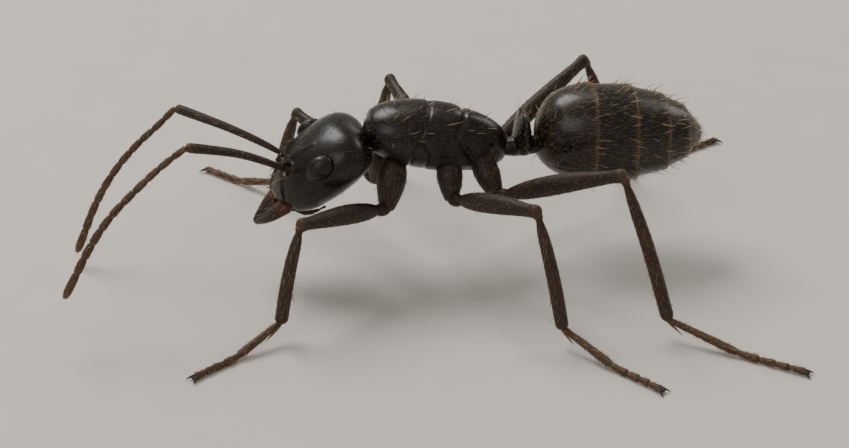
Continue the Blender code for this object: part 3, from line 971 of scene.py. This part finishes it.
def on_bench(skin, matrix):
    """A placed skin's points in the bench axes that it was modelled in."""
    inverse = np.array((Matrix.Scale(MM, 4) @ matrix).inverted())
    return points_of(skin) @ inverse[:3, :3].T + inverse[:3, 3]


def head_weights(skin):
    """How thickly each of the head's kinds of hair grows at each vertex. The other weights are alike."""
    co = on_bench(skin, HEAD)
    x, y, z = co.T
    clear = ramp(eye_depth(co), 1.15, 1.35) * ramp(x, -0.98, -0.90)
    face = ramp(z, 0.0, 0.2)
    shield = face * ramp(-x, 0.5, 0.7) * ramp(-np.abs(y), -0.5, -0.35)
    return clear * (0.25 + 0.75 * face), shield, clear


def mouth_weights(skin):
    palps = (marked(skin, "bone") == CHAIN).astype(float)
    return (1.0 - palps) * ramp(-on_bench(skin, HEAD)[:, 0], 0.90, 1.00), palps


def thorax_weights(skin):
    upper = ramp(on_bench(skin, BODY)[:, 2], 2.75, 3.05)
    return upper, 0.4 + 0.6 * upper


def petiole_weights(skin):
    height = on_bench(skin, BODY)[:, 2]
    return ramp(height, 2.85, 3.1), np.ones(len(height))


def gaster_weights(skin):
    co = on_bench(skin, BODY)
    share = (co[:, 0] - GASTER_SHAPE.front) / GASTER_SHAPE.length
    behind = sum(bell(share - edge + 0.055, 0.028) for edge in PLATE_EDGES[1:5])
    tail = ramp(share, 0.90, 0.97)
    return behind, np.ones(len(co)), tail, 0.30 + 0.70 * ramp(co[:, 2], 2.0, 2.4)


def jaw_weights(skin):
    return (ramp((normals_of(skin) @ np.array(HEAD.to_3x3()))[:, 2], -0.3, 0.2),)


def feeler_weights(skin):
    open_part = ramp(marked(skin, "share"), 0.10, 0.14)
    return (marked(skin, "bone") == CHAIN).astype(float), open_part, open_part


def leg_weights(skin):
    share, bone = marked(skin, "share"), marked(skin, "bone")
    open_part = ramp(share, 0.07, 0.15) * ramp(-share, -0.945, -0.90)
    foot = (bone == FOOT).astype(float)
    low_end = ramp(share, 0.45, 0.65) * (bone == SHIN)
    under = np.maximum(low_end, foot) * ramp(-normals_of(skin)[:, 2], 0.0, 0.4)
    return open_part, open_part * (1.0 - foot), foot, open_part * under


COATS = [
    ("head_skin", HEAD_HAIRS, head_weights),
    ("mouth", MOUTH_HAIRS, mouth_weights),
    ("thorax_skin", THORAX_HAIRS, thorax_weights),
    ("petiole_skin", PETIOLE_HAIRS, petiole_weights),
    ("gaster_skin", GASTER_HAIRS, gaster_weights),
    *(("jaw_" + side, JAW_HAIRS, jaw_weights) for side in SIDES),
    *(("feeler_" + side, FEELER_HAIRS, feeler_weights) for side in SIDES),
    *(("leg_skin_" + leg, LEG_HAIRS, leg_weights) for leg in LEGS),
]


def triangles_of(mesh):
    mesh.calc_loop_triangles()
    return read(mesh.loop_triangles, "vertices", 3, np.int32)


def unwrapped(skin):
    """The skin's triangles and their corners on its own unwrap, made on a copy."""
    copy = copied(skin, "unwrapped")
    with editing(copy):
        bpy.ops.uv.smart_project(angle_limit=UNWRAP_ANGLE, island_margin=ISLAND_GAP)
    mesh = copy.data
    corners = triangles_of(mesh)
    sheet = read(mesh.uv_layers.active.uv, "vector", 2)[read(mesh.loop_triangles, "loops", 3, np.int32)]
    bpy.data.objects.remove(copy)
    bpy.data.meshes.remove(mesh)
    return corners, sheet


def scatter(rng, corners, co, weight, kind):
    """Picks faces and places on them for the roots of one kind of hair."""
    a, b, c = (co[corners[:, n]] for n in range(3))
    chance = np.linalg.norm(np.cross(b - a, c - a), axis=1) / 2 * weight[corners].mean(1)
    count = int(chance.sum() * kind.density)
    tries = count * (TRIES if kind.apart else 1)
    faces = rng.choice(len(corners), tries, p=chance / chance.sum())
    u, v = rng.random(tries), rng.random(tries)
    flip = u + v > 1.0
    u[flip], v[flip] = 1.0 - u[flip], 1.0 - v[flip]
    share = np.column_stack((1.0 - u - v, u, v))
    if kind.apart:
        roots = np.einsum("ij,ijk->ik", share, co[corners[faces]])
        kept = []
        for number, root in enumerate(roots):
            if len(kept) < count and np.all(np.linalg.norm(roots[kept] - root, axis=1) > kind.apart):
                kept.append(number)
        faces, share = faces[kept], share[kept]
    return faces, share


def unit(vectors):
    return vectors / np.maximum(np.linalg.norm(vectors, axis=1), 1e-9)[:, None]


def hair_points(rng, kind, roots, normals, lie):
    """Points of three-sided tapering hairs, root ring first and tip last, for each hair."""
    count = len(roots)
    flat = unit(lie - normals * np.einsum("ij,ij->i", lie, normals)[:, None])
    stray = np.cross(normals, flat) * rng.normal(0.0, STRAY, count)[:, None]
    flat = unit(flat + stray)
    lift = np.radians(kind.lift * (1.0 + rng.normal(0.0, LIFT_SPREAD, count)))[:, None]
    start = flat * np.cos(lift) + normals * np.sin(lift)
    length = (kind.length * (1.0 + rng.uniform(*LENGTH_SPREAD, count)))[:, None]
    side = unit(np.cross(start, normals) + 1e-6)
    up = np.cross(side, start)
    rows = []
    for station in range(kind.stations):
        share = station / kind.stations
        bend = share * start + kind.curl * share**2 * (flat - start)
        middle = roots - normals * ROOT_DEPTH + length * bend
        radius = kind.thickness / 2 * (1.0 - share) ** 0.6
        for corner in range(SIDES_OF_HAIR):
            angle = math.tau * corner / SIDES_OF_HAIR
            rows.append(middle + radius * (math.cos(angle) * side + math.sin(angle) * up))
    rows.append(roots + length * (start + kind.curl * (flat - start)))
    return np.stack(rows, axis=1)


def hair_faces(stations):
    """The faces of one hair, by the numbers of its own points."""
    faces, tip = [(0, 1, 2)], stations * SIDES_OF_HAIR
    for low in range(tip):
        after = low + 1 if (low + 1) % SIDES_OF_HAIR else low + 1 - SIDES_OF_HAIR
        if low < tip - SIDES_OF_HAIR:
            faces.append((low, after + SIDES_OF_HAIR, after))
            faces.append((low, low + SIDES_OF_HAIR, after + SIDES_OF_HAIR))
        else:
            faces.append((low, tip, after))
    return np.array(faces)


def hair_patch(stations):
    """How far up the hair each point of it is, and its place on the hair's patch of the coat's map."""
    along = np.append(np.repeat(np.arange(stations) / stations, SIDES_OF_HAIR), 1.0)
    angle = math.tau * (np.arange(len(along)) % SIDES_OF_HAIR) / SIDES_OF_HAIR
    return along, PATCH * (1.0 - along)[:, None] * np.column_stack((np.cos(angle), np.sin(angle)))


def in_open_air(tree, roots, normals, reach):
    """Which roots have nothing above them."""
    free = []
    for root, normal in zip(roots, normals):
        start = Vector(root + normal * CLEARANCE)
        free.append(tree.ray_cast(start, Vector(normal), reach)[0] is None)
    return np.array(free, bool)


def grow_coat(skin, kinds, weights, tree, seed):
    """All the hairs over a skin, as one piece."""
    rng = np.random.default_rng(seed)
    co, normals, lie = points_of(skin) / MM, normals_of(skin), marked(skin, "lie")
    corners, sheet = unwrapped(skin)
    points, faces, spots, tips = [], [], [], []
    total = 0
    for kind, weight in zip(kinds, weights):
        chosen, share = scatter(rng, corners, co, weight, kind)
        picked = (co[corners[chosen]], normals[corners[chosen]], lie[corners[chosen]], sheet[chosen])
        roots, up, way, spot = (np.einsum("ij,ijk->ik", share, values) for values in picked)
        up = unit(up)
        free = in_open_air(tree, roots, up, kind.length * math.sin(math.radians(kind.lift)) + HEADROOM)
        hairs = hair_points(rng, kind, roots[free], up[free], way[free])
        above_floor = hairs[:, :, 2].min(1) > 0.0
        hairs, spot = hairs[above_floor], spot[free][above_floor]
        along, petal = hair_patch(kind.stations)
        offsets = total + len(along) * np.arange(len(hairs))
        points.append(hairs.reshape(-1, 3))
        faces.append((hair_faces(kind.stations)[None] + offsets[:, None, None]).reshape(-1, 3))
        spots.append((spot[:, None] + petal[None]).reshape(-1, 2))
        tips.append(np.tile(kind.tone * along, len(hairs)))
        total += len(along) * len(hairs)
    name, faces = "coat_" + skin.name, np.concatenate(faces)
    mesh = bpy.data.meshes.new(name)
    mesh.from_pydata((np.concatenate(points) * MM).tolist(), [], faces.tolist())
    layer = mesh.uv_layers.new(name="OFBake")
    layer.uv.foreach_set("vector", np.concatenate(spots)[faces.ravel()].astype(np.float32).ravel())
    coat = bpy.data.objects.new(name, mesh)
    bpy.context.scene.collection.objects.link(coat)
    mark(coat, tip=np.concatenate(tips))
    mesh.shade_smooth()
    return coat


def air_around(skins):
    """A search tree over all the skins, in millimetres."""
    verts, faces, total = [], [], 0
    for skin in skins:
        verts.append(points_of(skin) / MM)
        faces.append(triangles_of(skin.data) + total)
        total += len(verts[-1])
    return BVHTree.FromPolygons(np.concatenate(verts).tolist(), np.concatenate(faces).tolist())


# ---- Materials ----


class Shell(NamedTuple):
    """How one kind of shell looks. Its two colours are names of colour settings."""

    dark: str
    pale: str
    rough: float
    cells: float  # cells of its fine net per metre
    dimples: float
    coat: float
    stretch: tuple = (1.0, 1.0, 1.0)  # how far its cells are drawn out
    turn: tuple = (0.0, 0.0, 0.0)  # the turn of the axes that they are drawn out along


SHELLS = {
    "body_shell": Shell("body", "body_pale", 0.25, 62000.0, 1.1, 0.10),
    "gaster_shell": Shell("body", "body_pale", 0.24, 62000.0, 1.1, 0.12, (0.7, 1.9, 1.9)),
    "limb_shell": Shell("limb", "limb_pale", 0.50, 80000.0, 0.9, 0.0),
    "jaw_shell": Shell("jaw", "jaw_pale", 0.27, 80000.0, 1.6, 0.10, (6.0, 1.0, 1.0), (0.0, -HEAD_PITCH, 0.0)),
}
GRAIN_INPUTS = (
    ("Vector", "NodeSocketVector", None),
    ("Cells per metre", "NodeSocketFloat", 36000.0),
    ("Dimples", "NodeSocketFloat", 0.5),
)
DIMPLE_SCALE, DRIFT_SCALE, DUST_SCALE = 9000.0, 1500.0, 26000.0  # waves of the noises per metre
CELL_EDGE = 0.16  # how far in from its edge a cell rises
DUST_SHARE = 0.66  # the noise above this is dust
TONE_DRIFT = (0.27, -0.11)  # the drift's share in the paleness, and its start
GLOSS_DRIFT = 0.16
DUST_ROUGHNESS = 0.10
NET_DEPTH = 0.0000019


def feed(tree, node, inputs):
    """Feeds a node's inputs, by label or number, from sockets or with plain values."""
    for label, value in inputs.items():
        if isinstance(value, bpy.types.NodeSocket):
            tree.links.new(value, node.inputs[label])
        else:
            node.inputs[label].default_value = value


def add_node(tree, kind, inputs, output=0, **settings):
    """One output of a new node with its settings and inputs."""
    node = tree.nodes.new("ShaderNode" + kind)
    for name, value in settings.items():
        setattr(node, name, value)
    feed(tree, node, inputs)
    return node.outputs[output]


def add_math(tree, operation, *values, clamp=False):
    return add_node(tree, "Math", dict(enumerate(values)), operation=operation, use_clamp=clamp)


def add_noise(tree, vector, scale, detail=2.0):
    """Soft noise, with its scale in waves per metre."""
    return add_node(tree, "TexNoise", {"Vector": vector, "Scale": scale, "Detail": detail}, "Fac")


def add_mark(tree, name):
    """A value that mark() stored on the mesh."""
    return add_node(tree, "Attribute", {}, "Fac", attribute_name=name)


def add_blend(tree, share, dark, pale):
    """A colour between two, by a share that varies over the surface."""
    return add_node(tree, "Mix", {"Factor": share, "A": dark, "B": pale}, "Result", data_type="RGBA")


def tinted(colour, red=1.0, green=1.0, blue=1.0):
    """A colour setting as a socket takes it, scaled channel by channel."""
    return (colour[0] * red, colour[1] * green, colour[2] * blue, 1.0)


def shell_grain():
    """The node group with the shell's fine net of cells, its dimples, its slow drift of tone and its dust."""
    made = bpy.data.node_groups.get("shell_grain")
    if made:
        return made
    group = bpy.data.node_groups.new("shell_grain", "ShaderNodeTree")
    for label, kind, value in GRAIN_INPUTS:
        socket = group.interface.new_socket(label, in_out="INPUT", socket_type=kind)
        if value is not None:
            socket.default_value = value
    for label in ("Height", "Drift", "Dust"):
        group.interface.new_socket(label, in_out="OUTPUT", socket_type="NodeSocketFloat")
    vector, scale, dimples = list(group.nodes.new("NodeGroupInput").outputs)[: len(GRAIN_INPUTS)]
    net = {"Vector": vector, "Scale": scale, "Randomness": 0.75}
    edge = add_node(group, "TexVoronoi", net, "Distance", feature="DISTANCE_TO_EDGE")
    cells = add_math(group, "MULTIPLY", add_math(group, "MINIMUM", edge, CELL_EDGE), 3.0)
    hollow = add_math(group, "MULTIPLY", add_noise(group, vector, DIMPLE_SCALE, 3.0), dimples)
    grain = {
        "Height": add_math(group, "ADD", cells, hollow),
        "Drift": add_noise(group, vector, DRIFT_SCALE, 4.0),
        "Dust": add_math(group, "GREATER_THAN", add_noise(group, vector, DUST_SCALE), DUST_SHARE),
    }
    feed(group, group.nodes.new("NodeGroupOutput"), grain)
    return group


def shell_surface(tree, at, shell):
    """Horny shell: deep colour that drifts, paler where the mesh is marked so, and a satin gloss."""
    colours = bpy.context.scene.ant_colours
    mapping = {"Vector": at, "Rotation": shell.turn, "Scale": shell.stretch}
    drawn_out = add_node(tree, "Mapping", mapping, vector_type="TEXTURE")
    net = {"Vector": drawn_out, "Cells per metre": shell.cells, "Dimples": shell.dimples}
    grain = add_node(tree, "Group", net, node_tree=shell_grain()).node.outputs
    drift = add_math(tree, "MULTIPLY_ADD", grain["Drift"], *TONE_DRIFT)
    paleness = add_math(tree, "ADD", add_mark(tree, "pale"), drift, clamp=True)
    dark, pale = (tinted(getattr(colours, setting)) for setting in (shell.dark, shell.pale))
    gloss = add_math(tree, "MULTIPLY_ADD", grain["Drift"], GLOSS_DRIFT, shell.rough - GLOSS_DRIFT / 2)
    dust = add_math(tree, "MULTIPLY", grain["Dust"], DUST_ROUGHNESS)
    bump = {"Height": grain["Height"], "Strength": 0.6, "Distance": NET_DEPTH}
    return {
        "Base Color": add_blend(tree, paleness, dark, pale),
        "Roughness": add_math(tree, "ADD", gloss, dust),
        "Normal": add_node(tree, "Bump", bump),
        "Coat Weight": shell.coat,
        "Coat Roughness": 0.16,
        "Specular IOR Level": 0.32,
    }


def eye_surface(tree, at, colour):
    """Dark lenses under a hard clear gloss, with a faint brown drift between them."""
    dark, pale = tinted(colour), tinted(colour, 3.2, 2.3, 1.8)
    return {
        "Base Color": add_blend(tree, add_noise(tree, at, 9000.0), dark, pale),
        "Roughness": 0.20,
        "Specular IOR Level": 0.28,
        "Coat Weight": 0.20,
        "Coat Roughness": 0.06,
    }


def hair_surface(tree, at, colour):
    """Golden hairs, darker at the root and paler at the tip."""
    drift = add_math(tree, "MULTIPLY", add_noise(tree, at, 5000.0), 0.5)
    share = add_math(tree, "ADD", add_mark(tree, "tip"), drift)
    root = tinted(colour, 0.30, 0.24, 0.20)
    return {
        "Base Color": add_blend(tree, share, root, tinted(colour)),
        "Roughness": 0.42,
        "Specular IOR Level": 0.5,
    }


def floor_surface(tree, at, colour):
    """A plain pale floor with a very faint grain."""
    dark, pale = tinted(colour, 0.94, 0.94, 0.94), tinted(colour, 1.04, 1.04, 1.04)
    return {"Base Color": add_blend(tree, add_noise(tree, at, 900.0, 6.0), dark, pale), "Roughness": 0.65}


def make_material(name, surface, look):
    """A material whose shader takes what a surface function makes out of the object's coordinates."""
    material = bpy.data.materials.new(name)
    material.use_nodes = True
    tree = material.node_tree
    at = add_node(tree, "TexCoord", {}, "Object")
    feed(tree, tree.nodes["Principled BSDF"], surface(tree, at, look))
    return material


def shell_material(name):
    return bpy.data.materials.get(name) or make_material(name, shell_surface, SHELLS[name])


# ---- Stage ----

SOFTBOXES = (  # name, bearing and rise in degrees, distance and size in metres, power in watts
    ("key_light", -150.0, 56.0, 0.11, 0.055, 0.100),
    ("fill_light", -40.0, 38.0, 0.14, 0.075, 0.036),
    ("rim_light", 115.0, 32.0, 0.12, 0.045, 0.026),
)
FLOOR_SIZE = 1.2
SENSOR_WIDTH = 36.0
NEAR_CLIP, FAR_CLIP = 0.0005, 5.0
ROOM_LIGHT = (1.0, 0.985, 0.955, 1.0)
ROOM_STRENGTH = 0.38


def look_at(name, data, target, bearing, rise, distance):
    """Sets a lamp or a camera on a bearing round a target and a height angle, looking at it."""
    way = Vector((math.sin(bearing) * math.cos(rise), -math.cos(bearing) * math.cos(rise), math.sin(rise)))
    thing = bpy.data.objects.new(name, data)
    bpy.context.scene.collection.objects.link(thing)
    thing.location = target + way * distance
    thing.rotation_euler = (-way).to_track_quat("-Z", "Y").to_euler()
    return thing


def add_softbox(centre, name, bearing, rise, distance, size, power):
    """A square soft light."""
    light = bpy.data.lights.new(name, "AREA")
    light.shape = "SQUARE"
    light.size = size
    light.energy = power
    look_at(name, light, centre, math.radians(bearing), math.radians(rise), distance)


def add_floor(colour):
    bpy.ops.object.select_all(action="DESELECT")
    bpy.ops.mesh.primitive_plane_add(size=FLOOR_SIZE, location=(0.0, 0.0, 0.0))
    floor = bpy.context.object
    floor.name = "floor"
    floor.data.materials.append(make_material("floor", floor_surface, colour))


def room_light():
    """The even pale light of the room."""
    world = bpy.data.worlds.new("studio")
    world.use_nodes = True
    tree = world.node_tree
    feed(tree, tree.nodes["Background"], {"Color": ROOM_LIGHT, "Strength": ROOM_STRENGTH})
    return world


def add_camera(view, target):
    camera = bpy.data.cameras.new("camera")
    camera.lens = view.lens
    camera.sensor_width = SENSOR_WIDTH
    camera.clip_start = NEAR_CLIP
    camera.clip_end = FAR_CLIP
    distance = view.width * view.lens / SENSOR_WIDTH
    return look_at("camera", camera, target, view.azimuth, view.elevation, distance)


# ---- Values a user would change ----


def colour_setting(name, description, default):
    return FloatVectorProperty(
        name=name, description=description, subtype="COLOR", default=default, min=0.0, max=1.0
    )


def length_setting(name, description, default, low, high):
    return FloatProperty(
        name=name, description=description, unit="LENGTH", default=default, min=low, max=high
    )


class AntColours(bpy.types.PropertyGroup):
    body: colour_setting("Body", "Shell of the head and trunk", (0.0070, 0.0054, 0.0045))
    body_pale: colour_setting("Body, thin places", "Plate edges and sutures", (0.115, 0.060, 0.026))
    limb: colour_setting("Limbs", "Thighs and shins", (0.023, 0.0125, 0.0075))
    limb_pale: colour_setting("Limbs, thin places", "Feet, joints and feelers", (0.150, 0.070, 0.030))
    jaw: colour_setting("Jaws", "Shell of the jaws", (0.022, 0.0090, 0.0055))
    jaw_pale: colour_setting("Jaws, thin places", "Roots of the jaws", (0.120, 0.040, 0.015))
    eye: colour_setting("Eyes", "Lenses of the eyes", (0.0055, 0.0045, 0.0045))
    hair: colour_setting("Hairs", "Hairs and bristles", (0.46, 0.33, 0.17))
    floor: colour_setting("Floor", "The floor under the ant", (0.62, 0.575, 0.515))


class AntCoat(bpy.types.PropertyGroup):
    bristle: length_setting("Bristle length", "Length of the upright hairs", 0.00027, 0.0001, 0.0005)
    down: length_setting("Down length", "Length of the fine hairs that lie flat", 0.00012, 0.00005, 0.0003)
    density: FloatProperty(name="Down density", description="Share of the usual number of fine hairs",
                           subtype="FACTOR", default=1.0, min=0.1, max=2.0)
    seed: IntProperty(name="Seed", description="Starts the draw of hair places", default=11, min=0)


class AntView(bpy.types.PropertyGroup):
    azimuth: FloatProperty(name="Azimuth", description="Camera's turn round the ant", subtype="ANGLE",
                           default=math.radians(-10.0))
    elevation: FloatProperty(name="Elevation", description="Camera's height angle", subtype="ANGLE",
                             default=math.radians(30.0), min=0.05, max=1.5)
    width: length_setting("Frame width", "Width that the frame takes in at the ant", 0.0168, 0.005, 0.1)
    height: length_setting("Aim height", "Height of the point that the camera looks at", 0.0006, 0.0, 0.004)
    lens: FloatProperty(name="Lens", description="Focal length", subtype="DISTANCE_CAMERA", unit="CAMERA",
                        default=90.0, min=20.0, max=300.0)


# ---- Operators ----


class AntOperator(bpy.types.Operator):
    bl_options = {"REGISTER"}


class ANT_OT_head(AntOperator):
    """Make the head's shell, with the face's shield, ridges and sockets, and the mouth's lips"""

    bl_idname = "ant.head"
    bl_label = "Head"

    def execute(self, context):
        finish_piece(place(model_head(), HEAD), shell_material("body_shell"), "body", "head")
        finish_piece(place(model_mouth(), HEAD), shell_material("limb_shell"), "limb")
        return {"FINISHED"}


class ANT_OT_jaws(AntOperator):
    """Make the two toothed jaws"""

    bl_idname = "ant.jaws"
    bl_label = "Jaws"

    def execute(self, context):
        for side, sign in SIDES.items():
            jaw = place(model_jaw(side, sign), HEAD)
            finish_piece(jaw, shell_material("jaw_shell"), "jaw", "mandible_" + side)
        return {"FINISHED"}


class ANT_OT_eyes(AntOperator):
    """Make the two eyes of many lenses"""

    bl_idname = "ant.eyes"
    bl_label = "Eyes"

    def execute(self, context):
        material = make_material("eye_lenses", eye_surface, context.scene.ant_colours.eye)
        pattern = model_eye()
        for side, sign in SIDES.items():
            eye = copied(pattern, "eye_lens_" + side)
            centre = Matrix.Translation(Vector(EYE_PLACE) * Vector((1.0, sign, 1.0)))
            place(eye, HEAD @ centre @ Matrix.Rotation(sign * EYE_TURN, 4, "X"))
            eye.data.shade_flat()
            finish_piece(eye, material, "eye", "eye_" + side)
        bpy.data.objects.remove(pattern)
        return {"FINISHED"}


class ANT_OT_feelers(AntOperator):
    """Make the two elbowed feelers"""

    bl_idname = "ant.feelers"
    bl_label = "Feelers"

    def execute(self, context):
        for side in SIDES:
            feeler = place(model_feeler(side))
            finish_piece(feeler, shell_material("limb_shell"), "limb", "scape_" + side, "funiculus_" + side)
        return {"FINISHED"}


class ANT_OT_trunk(AntOperator):
    """Make the thorax, the petiole and the gaster"""

    bl_idname = "ant.trunk"
    bl_label = "Trunk"

    def execute(self, context):
        for model, shell, nodes in (
            (model_thorax, "body_shell", ("pronotum", "mesothorax", "propodeum")),
            (model_petiole, "body_shell", ("petiole",)),
            (model_gaster, "gaster_shell", ("gaster",)),
        ):
            finish_piece(place(model(), BODY), shell_material(shell), "body", *nodes)
        return {"FINISHED"}


class ANT_OT_legs(AntOperator):
    """Make the six legs and their claws"""

    bl_idname = "ant.legs"
    bl_label = "Legs"

    def execute(self, context):
        material = shell_material("limb_shell")
        claw, pad = model_claw(), model_pad()
        for leg in LEGS:
            nodes = [bone + "_" + leg for bone in LEG_BONES]
            finish_piece(place(model_leg(leg)), material, "limb", *nodes)
            finish_piece(place(claws_for(leg, claw, pad)), material, "limb")
        for pattern in (claw, pad):
            bpy.data.objects.remove(pattern)
        return {"FINISHED"}


class ANT_OT_coat(AntOperator):
    """Grow the bristles and the fine down over every skin"""

    bl_idname = "ant.coat"
    bl_label = "Coat"

    def execute(self, context):
        sizes = context.scene.ant_coat
        material = make_material("hair", hair_surface, context.scene.ant_colours.hair)
        meshes = [thing for thing in context.scene.objects if thing.type == "MESH"]
        tree = air_around([mesh for mesh in meshes if mesh.get("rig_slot") and not mesh.get("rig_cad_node")])
        for number, (name, hairs, weights) in enumerate(COATS):
            kinds = []
            for kind in hairs:
                length = kind.length * (getattr(sizes, kind.setting) / MM)
                density = kind.density * (sizes.density if kind.setting == "down" else 1.0)
                kinds.append(kind._replace(length=length, density=density))
            skin = bpy.data.objects[name]
            coat = grow_coat(skin, kinds, weights(skin), tree, sizes.seed + number)
            finish_piece(coat, material, "hair")
        return {"FINISHED"}


class ANT_OT_stage(AntOperator):
    """Lay the plain floor, set the soft lights and put the camera in place"""

    bl_idname = "ant.stage"
    bl_label = "Stage"

    def execute(self, context):
        scene = context.scene
        low, high = (Vector(corner) for corner in CAD_BOX)
        centre = (low + high) / 2
        add_floor(scene.ant_colours.floor)
        for softbox in SOFTBOXES:
            add_softbox(centre, *softbox)
        scene.world = room_light()
        scene.camera = add_camera(scene.ant_view, Vector((centre.x, centre.y, scene.ant_view.height)))
        return {"FINISHED"}


OPERATORS = (
    ANT_OT_head, ANT_OT_jaws, ANT_OT_eyes, ANT_OT_feelers, ANT_OT_trunk, ANT_OT_legs, ANT_OT_coat,
    ANT_OT_stage,
)
GROUPS = {"ant_colours": AntColours, "ant_coat": AntCoat, "ant_view": AntView}


class ANT_PT_panel(bpy.types.Panel):
    """The steps of the finish, in order"""

    bl_label = "Ant finish"
    bl_idname = "ANT_PT_panel"
    bl_space_type = "VIEW_3D"
    bl_region_type = "UI"
    bl_category = "Ant"

    def draw(self, context):
        for name, group in GROUPS.items():
            box = self.layout.box()
            for label in group.__annotations__:
                box.prop(getattr(context.scene, name), label)
        for operator in OPERATORS:
            self.layout.operator(operator.bl_idname)


CLASSES = (*GROUPS.values(), *OPERATORS, ANT_PT_panel)


def register():
    for thing in CLASSES:
        bpy.utils.register_class(thing)
    for name, group in GROUPS.items():
        setattr(bpy.types.Scene, name, PointerProperty(type=group))


def unregister():
    for name in GROUPS:
        delattr(bpy.types.Scene, name)
    for thing in reversed(CLASSES):
        bpy.utils.unregister_class(thing)


def main():
    register()
    for operator in OPERATORS:
        group, name = operator.bl_idname.split(".")
        getattr(getattr(bpy.ops, group), name)()


if __name__ == "__main__":
    main()
